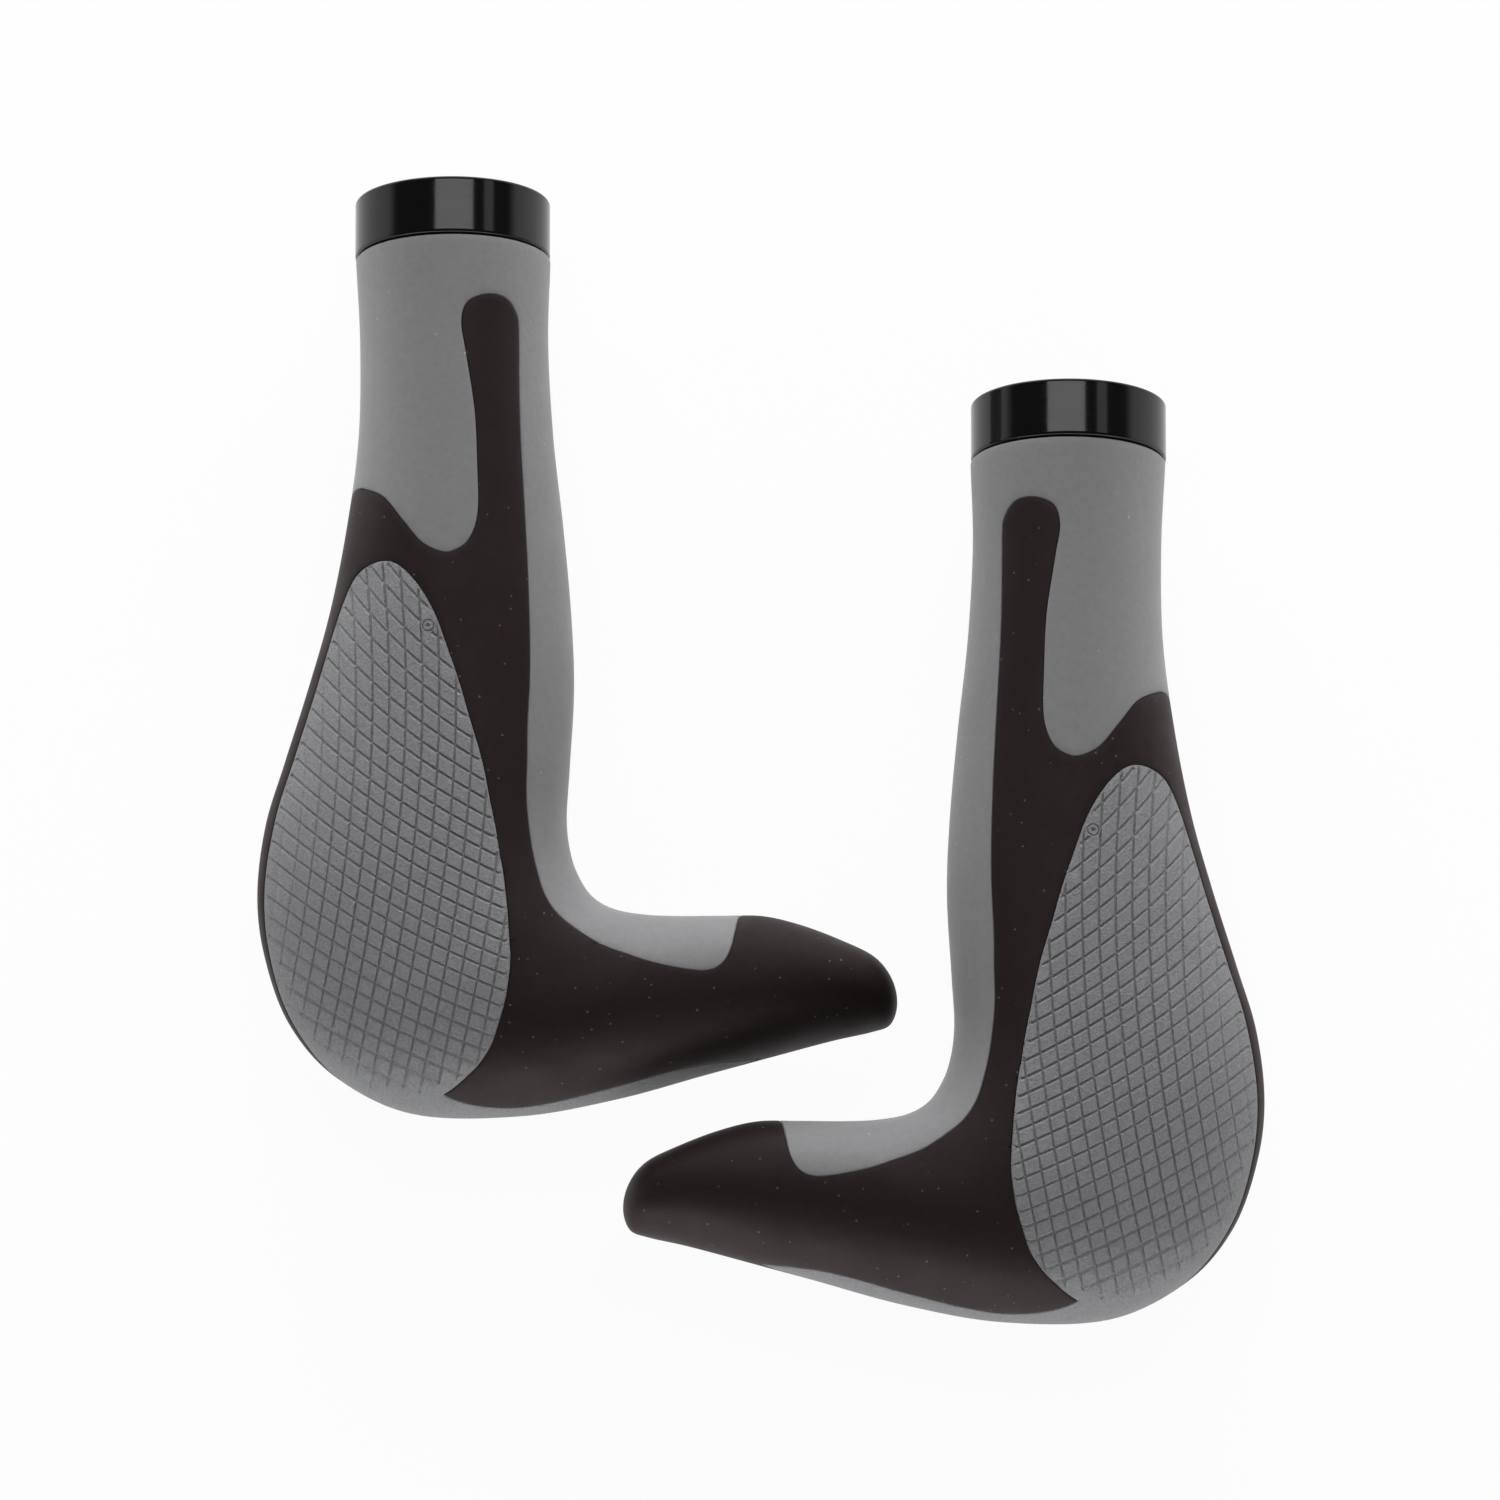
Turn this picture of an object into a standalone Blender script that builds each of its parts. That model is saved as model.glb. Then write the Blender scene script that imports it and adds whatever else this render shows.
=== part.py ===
"""A pair of lock-on handlebar grips with moulded bar ends, lying palm side up on a flat surface.

Units are metres, +Z is up. Each grip is worked out in its own frame: the bar axis runs along Y with +Y
inboard, the horn points to +X, the palm faces +Z, and the origin is on the bar axis at the rubber's inboard
end. A station is a distance outboard from that end, so it counts along -Y. The right grip is the left one
mirrored.
"""

import math

import bmesh
import bpy
from mathutils import Matrix, Vector

# Driving dimensions: handlebar and wall thicknesses
BAR_RADIUS = 0.0111
BAR_CLEARANCE = 0.0001
CORE_WALL = 0.0016
RUBBER_WALL = 0.0022
SEAM = 0.0003
END_WALL = 0.0174

# Driving dimensions: the outline of a grip
HAND_LENGTH = 0.1115
HORN_ROOT_WIDTH = 0.0339
HORN_REACH = 0.0728
WING_REACH = 0.0315
FINGER_SWELL = 0.0048
BAND_DEPTH = 0.005

# Driving dimensions: collar, tabs and bolt
COLLAR_WALL = 0.0048
COLLAR_WIDTH = 0.0096
COLLAR_CHAMFER = 0.0005
SLIT_WIDTH = 0.0016
SLIT_ANGLE = math.radians(-70)
TAB_WIDTH = 0.007
TAB_LENGTH = 0.006
TAB_ROOT = 0.003
TAB_STEP_DOWN = 0.0006
BOLT_SEAT = 0.0046
BOLT_RADIUS = 0.0015
BOLT_LENGTH = 0.010
HEAD_RADIUS = 0.00275
HEAD_HEIGHT = 0.003
HEAD_CHAMFER = 0.0003
SOCKET_WIDTH = 0.0025
SOCKET_DEPTH = 0.0016

# Driving dimensions: how the pair lies
TIP_GAP = 0.0081
HORN_GAP = 0.0007

# Sizes that follow from the driving dimensions
BORE_RADIUS = BAR_RADIUS + BAR_CLEARANCE
CORE_INSET = RUBBER_WALL + SEAM
NECK_RADIUS = BORE_RADIUS + CORE_WALL + CORE_INSET
COLLAR_RADIUS = BORE_RADIUS + COLLAR_WALL
BOLT_OFFSET = BORE_RADIUS + COLLAR_WALL / 2
TAB_TOP = BORE_RADIUS + CORE_WALL - TAB_STEP_DOWN
WING_SWELL = WING_REACH - NECK_RADIUS
PALM_SWELL = COLLAR_RADIUS - NECK_RADIUS
FINGER_EDGE = NECK_RADIUS + FINGER_SWELL
HORN_RUN = HORN_REACH - FINGER_EDGE
BORE_DEPTH = HAND_LENGTH + HORN_ROOT_WIDTH - END_WALL
AXIS_SPACING = HORN_REACH + FINGER_EDGE + TIP_GAP
STAGGER = HORN_ROOT_WIDTH + HORN_GAP
FAR = 3 * COLLAR_RADIUS

# How finely the shapes are divided
SKIN_SIDES = 24
SKIN_ROWS = 2
CORE_SIDES = 20
ROUND_SIDES = 48
BOLT_SIDES = 24
OUTLINE_STEPS = 2

# Sections of the hand zone: station as a share of HAND_LENGTH, then the shares of FINGER_SWELL, WING_SWELL
# and PALM_SWELL added to the neck's radius, then how far the palm side and the back lean towards the fingers.
HAND_SECTIONS = [
    (0.000, 0.16, 0.035, 0.70, 0.00, 0.00),
    (0.126, 0.09, -0.01, 0.00, 0.00, 0.00),
    (0.269, 0.27, 0.00, 0.00, 0.00, 0.00),
    (0.404, 0.61, 0.11, 0.30, 0.00, 0.05),
    (0.538, 0.89, 0.28, 0.60, 0.06, 0.15),
    (0.655, 1.00, 0.495, 0.75, 0.12, 0.25),
    (0.771, 0.86, 0.735, 0.90, 0.18, 0.35),
]

# Sections round the palm's corner and along the horn. Inner edge: share of HORN_RUN past the finger edge, and
# station past HAND_LENGTH as a share of HORN_ROOT_WIDTH. Outer edge: share of the wing's reach where it is
# below 0, or of the horn's reach where it is above, and its station as the inner edge's. Then the half
# thickness as a share of the collar's radius, and the two leans.
HORN_SECTIONS = [
    (-0.022, -0.487, -0.96, -0.442, 1.00, 0.20, 0.40),
    (-0.010, -0.310, -1.00, -0.103, 1.00, 0.20, 0.40),
    (0.017, -0.182, -0.96, 0.206, 1.00, 0.20, 0.40),
    (0.063, -0.073, -0.835, 0.530, 1.00, 0.20, 0.35),
    (0.132, -0.010, -0.60, 0.789, 1.00, 0.15, 0.30),
    (0.227, 0.015, -0.205, 0.973, 0.98, 0.10, 0.20),
    (0.342, 0.016, 0.150, 0.985, 0.94, 0.00, 0.10),
    (0.466, 0.013, 0.371, 0.900, 0.85, 0.00, 0.00),
    (0.590, 0.014, 0.571, 0.780, 0.76, 0.00, 0.00),
    (0.710, 0.061, 0.731, 0.684, 0.69, 0.00, 0.00),
    (0.830, 0.135, 0.855, 0.611, 0.60, 0.00, 0.00),
    (0.928, 0.212, 0.942, 0.570, 0.475, 0.00, 0.00),
    (0.981, 0.312, 0.985, 0.535, 0.29, 0.00, 0.00),
    (1.000, 0.430, 1.000, 0.435, 0.00, 0.00, 0.00),
]

# Edges between the rubbers, drawn on the skin as (section number, place across): -1 is the outer edge of the
# section, +1 the inner edge, and a place past them lies outside the grip. Each edge is a smooth curve.
SLEEVE_EDGE = [
    (2.45, -1.50), (2.62, -1.02), (2.88, -0.72), (3.30, -0.40), (3.60, -0.12), (3.48, 0.14), (3.10, 0.22),
    (2.00, 0.21), (1.20, 0.11), (0.90, 0.13), (0.71, 0.40), (0.84, 0.66), (1.20, 0.71), (2.40, 0.66),
    (4.20, 0.66), (6.00, 0.71), (8.00, 0.75), (9.80, 0.71), (11.60, 0.57), (13.20, 0.33), (14.40, 0.12),
    (14.73, 0.25), (14.66, 0.60), (14.50, 1.00), (14.40, 1.40),
]
PAD_EDGE = [
    (10.60, -1.03), (10.00, -0.985), (9.00, -0.97), (8.00, -0.945), (6.50, -0.93), (5.00, -0.915),
    (4.20, -0.905), (3.75, -0.82), (3.62, -0.60), (3.78, -0.38), (4.35, -0.10), (5.10, 0.12), (6.20, 0.39),
    (7.30, 0.52), (8.60, 0.54), (10.10, 0.42), (11.10, 0.21), (11.80, -0.09), (12.20, -0.42), (12.30, -0.70),
    (12.22, -0.90), (12.15, -1.15), (12.00, -1.60), (11.20, -1.60),
]

# The rim band round the outboard end: section number, then its upper and lower edge above the bar axis, as
# shares of the collar's radius. The pad's own floor is a share of it too.
RIM_BAND = [
    (9.2, 0.22, 0.15), (10.2, 0.22, 0.05), (11.0, 0.22, -0.12), (12.0, 0.22, -0.38), (13.2, 0.20, -0.41),
    (14.5, 0.25, -0.34), (15.5, 0.19, -0.19), (16.4, 0.14, 0.05),
]
PAD_FLOOR = 0.18 * COLLAR_RADIUS

# How much blunter the rim grows as a section leans, and the lean that counts as none
RIM_FULLNESS = 0.5
SMALLEST_LEAN = 1e-6


def sections():
    """All sections in order: inner and outer edge as (x, station), half thickness, palm and back lean."""
    found = []
    for along, finger, wing, palm, palm_lean, back_lean in HAND_SECTIONS:
        station = along * HAND_LENGTH
        inner = Vector((NECK_RADIUS + finger * FINGER_SWELL, station))
        outer = Vector((-NECK_RADIUS - wing * WING_SWELL, station))
        found.append((inner, outer, NECK_RADIUS + palm * PALM_SWELL, palm_lean, back_lean))
    for run, inner_past, reach, outer_past, half, palm_lean, back_lean in HORN_SECTIONS:
        inner = Vector((FINGER_EDGE + run * HORN_RUN, HAND_LENGTH + inner_past * HORN_ROOT_WIDTH))
        across = reach * (WING_REACH if reach < 0 else HORN_REACH)
        outer = Vector((across, HAND_LENGTH + outer_past * HORN_ROOT_WIDTH))
        found.append((inner, outer, half * COLLAR_RADIUS, palm_lean, back_lean))
    return found


SECTIONS = sections()
LAST_SECTION = len(SECTIONS) - 1
CORE_LAST_SECTION = LAST_SECTION - 2


def smooth(before, start, end, after, share):
    """A point of the Catmull-Rom curve from start to end."""
    bend = 2 * before - 5 * start + 4 * end - after
    twist = 3 * start - before - 3 * end + after
    return start + 0.5 * share * ((end - before) + share * (bend + share * twist))


def along(values, place):
    """The smooth curve through values, at place, which counts from 0 at the first of them."""
    index = max(0, min(int(place), len(values) - 2))
    start, end = values[index], values[index + 1]
    before = values[index - 1] if index > 0 else 2 * start - end
    after = values[index + 2] if index + 2 < len(values) else 2 * end - start
    return smooth(before, start, end, after, place - index)


def section_at(place, inset=0.0):
    """The section at a place between the numbered ones, drawn in by inset all round."""
    inner, outer, half, palm_lean, back_lean = (
        along([section[part] for section in SECTIONS], place) for part in range(5)
    )
    inward = (outer - inner).normalized() * inset
    return inner + inward, outer - inward, half - inset, palm_lean, back_lean


def crown(lean, angle):
    """Height of a section's outline at an angle, as a share of its half thickness: a circle where there is no
    lean, and with more of it an egg that is fuller towards the fingers and has a blunter rim."""
    rise = math.copysign(abs(math.sin(angle)) ** (1 - lean * RIM_FULLNESS), math.sin(angle))
    return rise * (1 + lean * math.cos(angle)) / crown_peak(lean)


def crown_peak(lean):
    """The greatest height of that outline before it is brought back to 1."""
    if lean < SMALLEST_LEAN:
        return 1
    power = 1 - lean * RIM_FULLNESS
    peak = (math.sqrt(power**2 + 4 * lean**2 * (power + 1)) - power) / (2 * lean * (power + 1))
    return (1 - peak**2) ** (power / 2) * (1 + lean * peak)


def section_ring(place, sides, inset=0.0):
    inner, outer, half, palm_lean, back_lean = section_at(place, inset)
    ring = []
    for side in range(sides):
        angle = 2 * math.pi * side / sides
        x, station = outer + (inner - outer) * (1 + math.cos(angle)) / 2
        lean = palm_lean if angle < math.pi else back_lean
        ring.append(Vector((x, -station, half * crown(lean, angle))))
    return ring


def plan_point(place, across):
    """The (x, y) under a point of the skin."""
    inner, outer = section_at(place)[:2]
    x, station = outer + (inner - outer) * (1 + across) / 2
    return Vector((x, -station))


def smooth_outline(edge):
    """The (x, y) points of the smooth curve through an edge's own points."""
    points = [Vector(point) for point in edge]
    count = (len(points) - 1) * OUTLINE_STEPS
    places = [along(points, step / OUTLINE_STEPS) for step in range(count + 1)]
    return [plan_point(*place) for place in places]


def widened(outline, distance):
    """A closed outline moved outwards by distance."""
    count = len(outline)
    area = sum(outline[i - 1].cross(outline[i]) for i in range(count))
    turn = 1 if area > 0 else -1
    moved = []
    for i, point in enumerate(outline):
        run = (outline[(i + 1) % count] - outline[i - 1]).normalized()
        moved.append(point + Vector((run.y, -run.x)) * distance * turn)
    return moved


def to_mesh(name, shape):
    """Turns a bmesh with closed surfaces into a mesh whose faces point out."""
    bmesh.ops.recalc_face_normals(shape, faces=shape.faces)
    mesh = bpy.data.meshes.new(name)
    shape.to_mesh(mesh)
    shape.free()
    return mesh


def lofted(name, rings):
    """A closed solid through rings of points. A last ring of one point closes it in a tip."""
    shape = bmesh.new()
    rows = [[shape.verts.new(point) for point in ring] for ring in rings]
    for row, following in zip(rows, rows[1:]):
        count = len(row)
        for i in range(count):
            j = (i + 1) % count
            if len(following) == 1:
                shape.faces.new((row[i], row[j], following[0]))
            else:
                shape.faces.new((row[i], row[j], following[j], following[i]))
    shape.faces.new(rows[0])
    if len(rows[-1]) > 1:
        shape.faces.new(rows[-1])
    return to_mesh(name, shape)


def prism(name, outline, low, high):
    shape = bmesh.new()
    base = shape.faces.new([shape.verts.new((point.x, point.y, low)) for point in outline])
    raised = bmesh.ops.extrude_face_region(shape, geom=[base])["geom"]
    top = [item for item in raised if isinstance(item, bmesh.types.BMVert)]
    bmesh.ops.translate(shape, verts=top, vec=(0, 0, high - low))
    return to_mesh(name, shape)


def cylinder(name, radius, start, end, sides):
    """A cylinder from one point to another."""
    run = end - start
    turn = run.to_track_quat("Z", "Y").to_matrix().to_4x4()
    place = Matrix.Translation((start + end) / 2) @ turn
    shape = bmesh.new()
    bmesh.ops.create_cone(
        shape, cap_ends=True, segments=sides, radius1=radius, radius2=radius, depth=run.length, matrix=place
    )
    return to_mesh(name, shape)


def block(name, frame, low, high):
    """A box between two corners that are given in a frame."""
    shape = bmesh.new()
    size = Matrix.Diagonal((*(high - low), 1))
    bmesh.ops.create_cube(shape, size=1, matrix=frame @ Matrix.Translation((low + high) / 2) @ size)
    return to_mesh(name, shape)


def turned(name, profile, sides):
    """A closed profile of (radius, height) turned about Z. A radius of 0 lies on the axis."""
    shape = bmesh.new()
    rows = []
    for radius, height in profile:
        angles = [2 * math.pi * side / sides for side in range(sides if radius > 0 else 1)]
        rows.append([shape.verts.new((radius * math.cos(a), radius * math.sin(a), height)) for a in angles])
    for row, following in zip(rows, rows[1:] + rows[:1]):
        if len(row) == 1 and len(following) == 1:
            continue
        for i in range(sides):
            j = (i + 1) % sides
            corners = [row[i % len(row)], row[j % len(row)]]
            corners += [following[j % len(following)], following[i % len(following)]]
            shape.faces.new(list(dict.fromkeys(corners)))
    return to_mesh(name, shape)


def carved(mesh, *steps):
    """The mesh after Boolean steps, each an operation and the mesh that it works with."""
    helpers = [bpy.data.objects.new(mesh.name, mesh)]
    bpy.context.collection.objects.link(helpers[0])
    for operation, tool in steps:
        helper = bpy.data.objects.new(tool.name, tool)
        bpy.context.collection.objects.link(helper)
        helper.hide_render = True
        helper.display_type = "WIRE"
        helpers.append(helper)
        cut = helpers[0].modifiers.new(tool.name, "BOOLEAN")
        cut.operation = operation
        cut.object = helper
        cut.solver = "EXACT"
    graph = bpy.context.evaluated_depsgraph_get()
    result = bpy.data.meshes.new_from_object(helpers[0].evaluated_get(graph))
    for helper in helpers:
        bpy.data.objects.remove(helper)
    return result


def skin_solid():
    """The whole outer form of the rubber."""
    rows = range(LAST_SECTION * SKIN_ROWS)
    rings = [section_ring(row / SKIN_ROWS, SKIN_SIDES) for row in rows]
    tip = plan_point(LAST_SECTION, 0)
    return lofted("skin", rings + [[Vector((tip.x, tip.y, 0))]])


def inner_rings(inset):
    return [section_ring(place, CORE_SIDES, inset) for place in range(CORE_LAST_SECTION + 1)]


def rubber_cavity():
    """The space inside the rubber, run out past its open inboard end."""
    rings = inner_rings(RUBBER_WALL)
    mouth = [point + Vector((0, BAR_RADIUS, 0)) for point in rings[0]]
    return lofted("cavity", [mouth] + rings)


def rim_band(margin):
    """A strip round the outboard rim that the pad's rubber fills, widened by margin."""
    rings = []
    for place, high, low in RIM_BAND:
        inner, outer = section_at(place)[:2]
        inward = (inner - outer).normalized() * BAND_DEPTH
        top = high * COLLAR_RADIUS + margin
        bottom = low * COLLAR_RADIUS - margin
        ring = []
        for side, height in ((inward, bottom), (-inward, bottom), (-inward, top), (inward, top)):
            x, station = outer + side
            ring.append(Vector((x, -station, height)))
        rings.append(ring)
    for end, neighbour in ((0, 1), (-1, -2)):
        middle = sum(rings[end], Vector()) / 4
        step = (middle - sum(rings[neighbour], Vector()) / 4).normalized() * margin
        rings[end] = [point + step for point in rings[end]]
    return lofted("band", rings)


def sleeve_region(margin):
    """Everything inboard of the sleeve's edge, all through the grip."""
    edge = smooth_outline(SLEEVE_EDGE)
    corners = [Vector((edge[-1].x, FAR)), Vector((edge[0].x, FAR))]
    return prism("sleeve_region", widened(edge + corners, margin), -FAR, FAR)


def pad_region(margin):
    """The palm pad's area, on the palm side only."""
    edge = smooth_outline(PAD_EDGE)
    return prism("pad_region", widened(edge, margin), PAD_FLOOR - margin, FAR)


def grey_sleeve():
    return carved(skin_solid(), ("DIFFERENCE", rubber_cavity()), ("INTERSECT", sleeve_region(0)))


def palm_pad():
    area = carved(pad_region(0), ("UNION", rim_band(0)))
    return carved(skin_solid(), ("DIFFERENCE", rubber_cavity()), ("INTERSECT", area))


def black_overmould():
    return carved(
        skin_solid(),
        ("DIFFERENCE", rubber_cavity()),
        ("DIFFERENCE", sleeve_region(SEAM)),
        ("DIFFERENCE", pad_region(SEAM)),
        ("DIFFERENCE", rim_band(SEAM)),
    )


def tab_frames():
    """Frames of the three tabs, in the collar's plane: X runs outwards, Y along the bar and Z round it."""
    return [Matrix.Rotation(-(SLIT_ANGLE + math.pi / 2 * turn), 4, "Y") for turn in (1, 2, 3)]


def core():
    mesh = lofted("core", inner_rings(CORE_INSET))
    steps = []
    for frame in tab_frames():
        low = Vector((BAR_RADIUS / 2, -TAB_ROOT, -TAB_WIDTH / 2))
        high = Vector((TAB_TOP, SEAM + TAB_LENGTH, TAB_WIDTH / 2))
        steps.append(("UNION", block("tab", frame, low, high)))
    start = Vector((0, FAR, 0))
    end = Vector((0, -BORE_DEPTH, 0))
    steps.append(("DIFFERENCE", cylinder("bore", BORE_RADIUS, start, end, ROUND_SIDES)))
    return carved(mesh, *steps)


def clamp_collar():
    """The split ring. Its origin is on the bar axis in its outboard face, and it runs to +Y."""
    rim = COLLAR_RADIUS - COLLAR_CHAMFER
    profile = [
        (BORE_RADIUS, 0),
        (rim, 0),
        (COLLAR_RADIUS, COLLAR_CHAMFER),
        (COLLAR_RADIUS, COLLAR_WIDTH - COLLAR_CHAMFER),
        (rim, COLLAR_WIDTH),
        (BORE_RADIUS, COLLAR_WIDTH),
    ]
    ring = turned("collar", profile, ROUND_SIDES)
    ring.transform(Matrix.Rotation(-math.pi / 2, 4, "X"))
    frame = Matrix.Rotation(-SLIT_ANGLE, 4, "Y")
    steps = []
    for tab in tab_frames():
        low = Vector((BAR_RADIUS / 2, -FAR, -TAB_WIDTH / 2 - SEAM))
        high = Vector((TAB_TOP + SEAM, TAB_LENGTH + SEAM, TAB_WIDTH / 2 + SEAM))
        steps.append(("DIFFERENCE", block("notch", tab, low, high)))
    low = Vector((BAR_RADIUS / 2, -FAR, -SLIT_WIDTH / 2))
    high = Vector((FAR, FAR, SLIT_WIDTH / 2))
    steps.append(("DIFFERENCE", block("slit", frame, low, high)))
    for name, radius, low, high in (
        ("bolt_hole", BOLT_RADIUS + SEAM, -FAR, FAR),
        ("head_pocket", HEAD_RADIUS + SEAM, BOLT_SEAT, FAR),
    ):
        start, end = (frame @ Vector((BOLT_OFFSET, COLLAR_WIDTH / 2, height)) for height in (low, high))
        steps.append(("DIFFERENCE", cylinder(name, radius, start, end, BOLT_SIDES)))
    return carved(ring, *steps)


def bolt_place():
    """Where the bolt sits in the collar's frame: its head's underside, with +Z out of the head."""
    frame = Matrix.Rotation(-SLIT_ANGLE, 4, "Y")
    return frame @ Matrix.Translation((BOLT_OFFSET, COLLAR_WIDTH / 2, BOLT_SEAT + SEAM))


def clamp_bolt():
    profile = [
        (0, HEAD_HEIGHT),
        (HEAD_RADIUS - HEAD_CHAMFER, HEAD_HEIGHT),
        (HEAD_RADIUS, HEAD_HEIGHT - HEAD_CHAMFER),
        (HEAD_RADIUS, 0),
        (BOLT_RADIUS, 0),
        (BOLT_RADIUS, HEAD_CHAMFER - BOLT_LENGTH),
        (BOLT_RADIUS - HEAD_CHAMFER, -BOLT_LENGTH),
        (0, -BOLT_LENGTH),
    ]
    corner = SOCKET_WIDTH / math.sqrt(3)
    start = Vector((0, 0, HEAD_HEIGHT - SOCKET_DEPTH))
    end = Vector((0, 0, 2 * HEAD_HEIGHT))
    socket = cylinder("socket", corner, start, end, 6)
    return carved(turned("bolt", profile, BOLT_SIDES), ("DIFFERENCE", socket))


def material(name, colour, roughness, metallic):
    made = bpy.data.materials.new(name)
    made.use_nodes = True
    shader = made.node_tree.nodes["Principled BSDF"]
    shader.inputs["Base Color"].default_value = (*colour, 1)
    shader.inputs["Roughness"].default_value = roughness
    shader.inputs["Metallic"].default_value = metallic
    return made


def empty(name, place):
    made = bpy.data.objects.new(name, None)
    made.matrix_world = place
    bpy.context.collection.objects.link(made)
    return made


def node(name, mesh, parent, place=Matrix()):
    made = bpy.data.objects.new(name, mesh)
    made.parent = parent
    made.matrix_local = place
    bpy.context.collection.objects.link(made)
    return made


def finish(mesh, finish_material):
    mesh.materials.clear()
    mesh.materials.append(finish_material)
    mesh.shade_smooth()
    mesh.set_sharp_from_angle(angle=math.radians(35))
    return mesh


def build():
    for leftover in list(bpy.data.objects):
        bpy.data.objects.remove(leftover)
    grey = material("grey_rubber", (0.185, 0.185, 0.19), 0.62, 0.0)
    black = material("black_rubber", (0.019, 0.014, 0.014), 0.55, 0.0)
    nylon = material("core_nylon", (0.05, 0.05, 0.05), 0.5, 0.0)
    anodised = material("black_anodised", (0.02, 0.018, 0.018), 0.25, 0.6)
    steel = material("bolt_steel", (0.35, 0.35, 0.36), 0.3, 1.0)
    rubber_pieces = {
        "core": finish(core(), nylon),
        "grey_sleeve": finish(grey_sleeve(), grey),
        "black_overmould": finish(black_overmould(), black),
        "palm_pad": finish(palm_pad(), grey),
    }
    collar_mesh = finish(clamp_collar(), anodised)
    bolt_mesh = finish(clamp_bolt(), steel)

    # The pair's box is centred on the origin, and the collars touch the surface.
    outboard = -min(vertex.co.y for mesh in rubber_pieces.values() for vertex in mesh.vertices)
    inboard = SEAM + COLLAR_WIDTH
    left_y = (outboard + STAGGER - inboard) / 2
    layout = {
        "left": (Vector((-AXIS_SPACING / 2, left_y, COLLAR_RADIUS)), 1),
        "right": (Vector((AXIS_SPACING / 2, left_y - STAGGER, COLLAR_RADIUS)), -1),
    }
    for side, (origin, hand) in layout.items():
        place = Matrix.Translation(origin) @ Matrix.Diagonal((hand, 1, 1, 1))
        grip = empty(f"{side}_grip_frame", place)
        for name, mesh in rubber_pieces.items():
            node(f"{side}_{name}", mesh, grip)
        collar = node(f"{side}_clamp_collar", collar_mesh, grip, Matrix.Translation((0, SEAM, 0)))
        node(f"{side}_clamp_bolt", bolt_mesh, collar, bolt_place())


build()
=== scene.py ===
"""The looks of a pair of lock-on handlebar grips with moulded bar ends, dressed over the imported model.

Units are metres, +Z is up. Each grip is made in its own frame: the bar axis runs along Y with +Y inboard,
the horn points to +X, the palm faces +Z, and the origin is on the bar axis at the rubber's inboard end. A
station is a distance outboard from that end. The right grip is the left one mirrored.

A place on the rubber's skin is (section number, angle round the section): the angle is 0 at the section's
inner edge, 90 degrees on the palm, 180 at its outer edge and 270 underneath.
"""

import math

import bmesh
import bpy
import numpy as np
from mathutils import Matrix, Vector
from mathutils.geometry import delaunay_2d_cdt
from mathutils.kdtree import KDTree


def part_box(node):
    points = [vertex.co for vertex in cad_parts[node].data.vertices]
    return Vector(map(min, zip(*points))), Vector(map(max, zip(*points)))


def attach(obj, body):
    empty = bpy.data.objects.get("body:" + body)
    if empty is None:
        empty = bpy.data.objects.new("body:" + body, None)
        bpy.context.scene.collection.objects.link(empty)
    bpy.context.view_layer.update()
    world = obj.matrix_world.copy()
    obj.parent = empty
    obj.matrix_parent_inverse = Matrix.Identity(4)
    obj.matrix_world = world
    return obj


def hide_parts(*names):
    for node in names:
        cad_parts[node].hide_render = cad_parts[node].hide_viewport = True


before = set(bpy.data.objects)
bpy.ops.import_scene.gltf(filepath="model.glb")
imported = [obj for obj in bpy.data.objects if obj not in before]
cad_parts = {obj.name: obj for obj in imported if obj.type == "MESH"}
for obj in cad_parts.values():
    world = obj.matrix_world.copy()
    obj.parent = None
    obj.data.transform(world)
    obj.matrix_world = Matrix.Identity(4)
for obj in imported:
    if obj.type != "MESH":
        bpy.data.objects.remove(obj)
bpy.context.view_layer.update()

# Handlebar, walls and clearances, as in the solids
BORE_RADIUS = 0.0112
CORE_WALL = 0.0016
CORE_INSET = 0.0025
SEAM = 0.0003
RUBBER_DEPTH = 0.0021
BORE_DEPTH = 0.128

# The outline of a grip, as in the solids
HAND_LENGTH = 0.1115
HORN_ROOT_WIDTH = 0.0339
HORN_REACH = 0.0728
WING_REACH = 0.0315
FINGER_SWELL = 0.0048

# Collar, tabs and bolt, as in the solids
SLIT_WIDTH = 0.0016
SLIT_ANGLE = math.radians(-70)
TAB_WIDTH = 0.007
TAB_LENGTH = 0.006
TAB_ROOT = 0.003
TAB_STEP_DOWN = 0.0006
BOLT_SEAT = 0.0046
BOLT_RADIUS = 0.0015
BOLT_LENGTH = 0.010
HEAD_RADIUS = 0.00275
HEAD_HEIGHT = 0.003
SOCKET_WIDTH = 0.0025
SOCKET_DEPTH = 0.0016

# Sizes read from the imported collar, and sizes that follow
collar_low, collar_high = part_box("left_clamp_collar")
COLLAR_RADIUS = (collar_high.x - collar_low.x) / 2
COLLAR_WIDTH = collar_high.y - collar_low.y
NECK_RADIUS = BORE_RADIUS + CORE_WALL + CORE_INSET
WING_SWELL = WING_REACH - NECK_RADIUS
PALM_SWELL = COLLAR_RADIUS - NECK_RADIUS
FINGER_EDGE = NECK_RADIUS + FINGER_SWELL
HORN_RUN = HORN_REACH - FINGER_EDGE
BOLT_MIDDLE = ((BORE_RADIUS + COLLAR_RADIUS) / 2, COLLAR_WIDTH / 2)
TAB_TOP = BORE_RADIUS + CORE_WALL - TAB_STEP_DOWN
SLIT_FRAME = Matrix.Rotation(-SLIT_ANGLE, 4, "Y")
FAR = 3 * COLLAR_RADIUS

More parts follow.
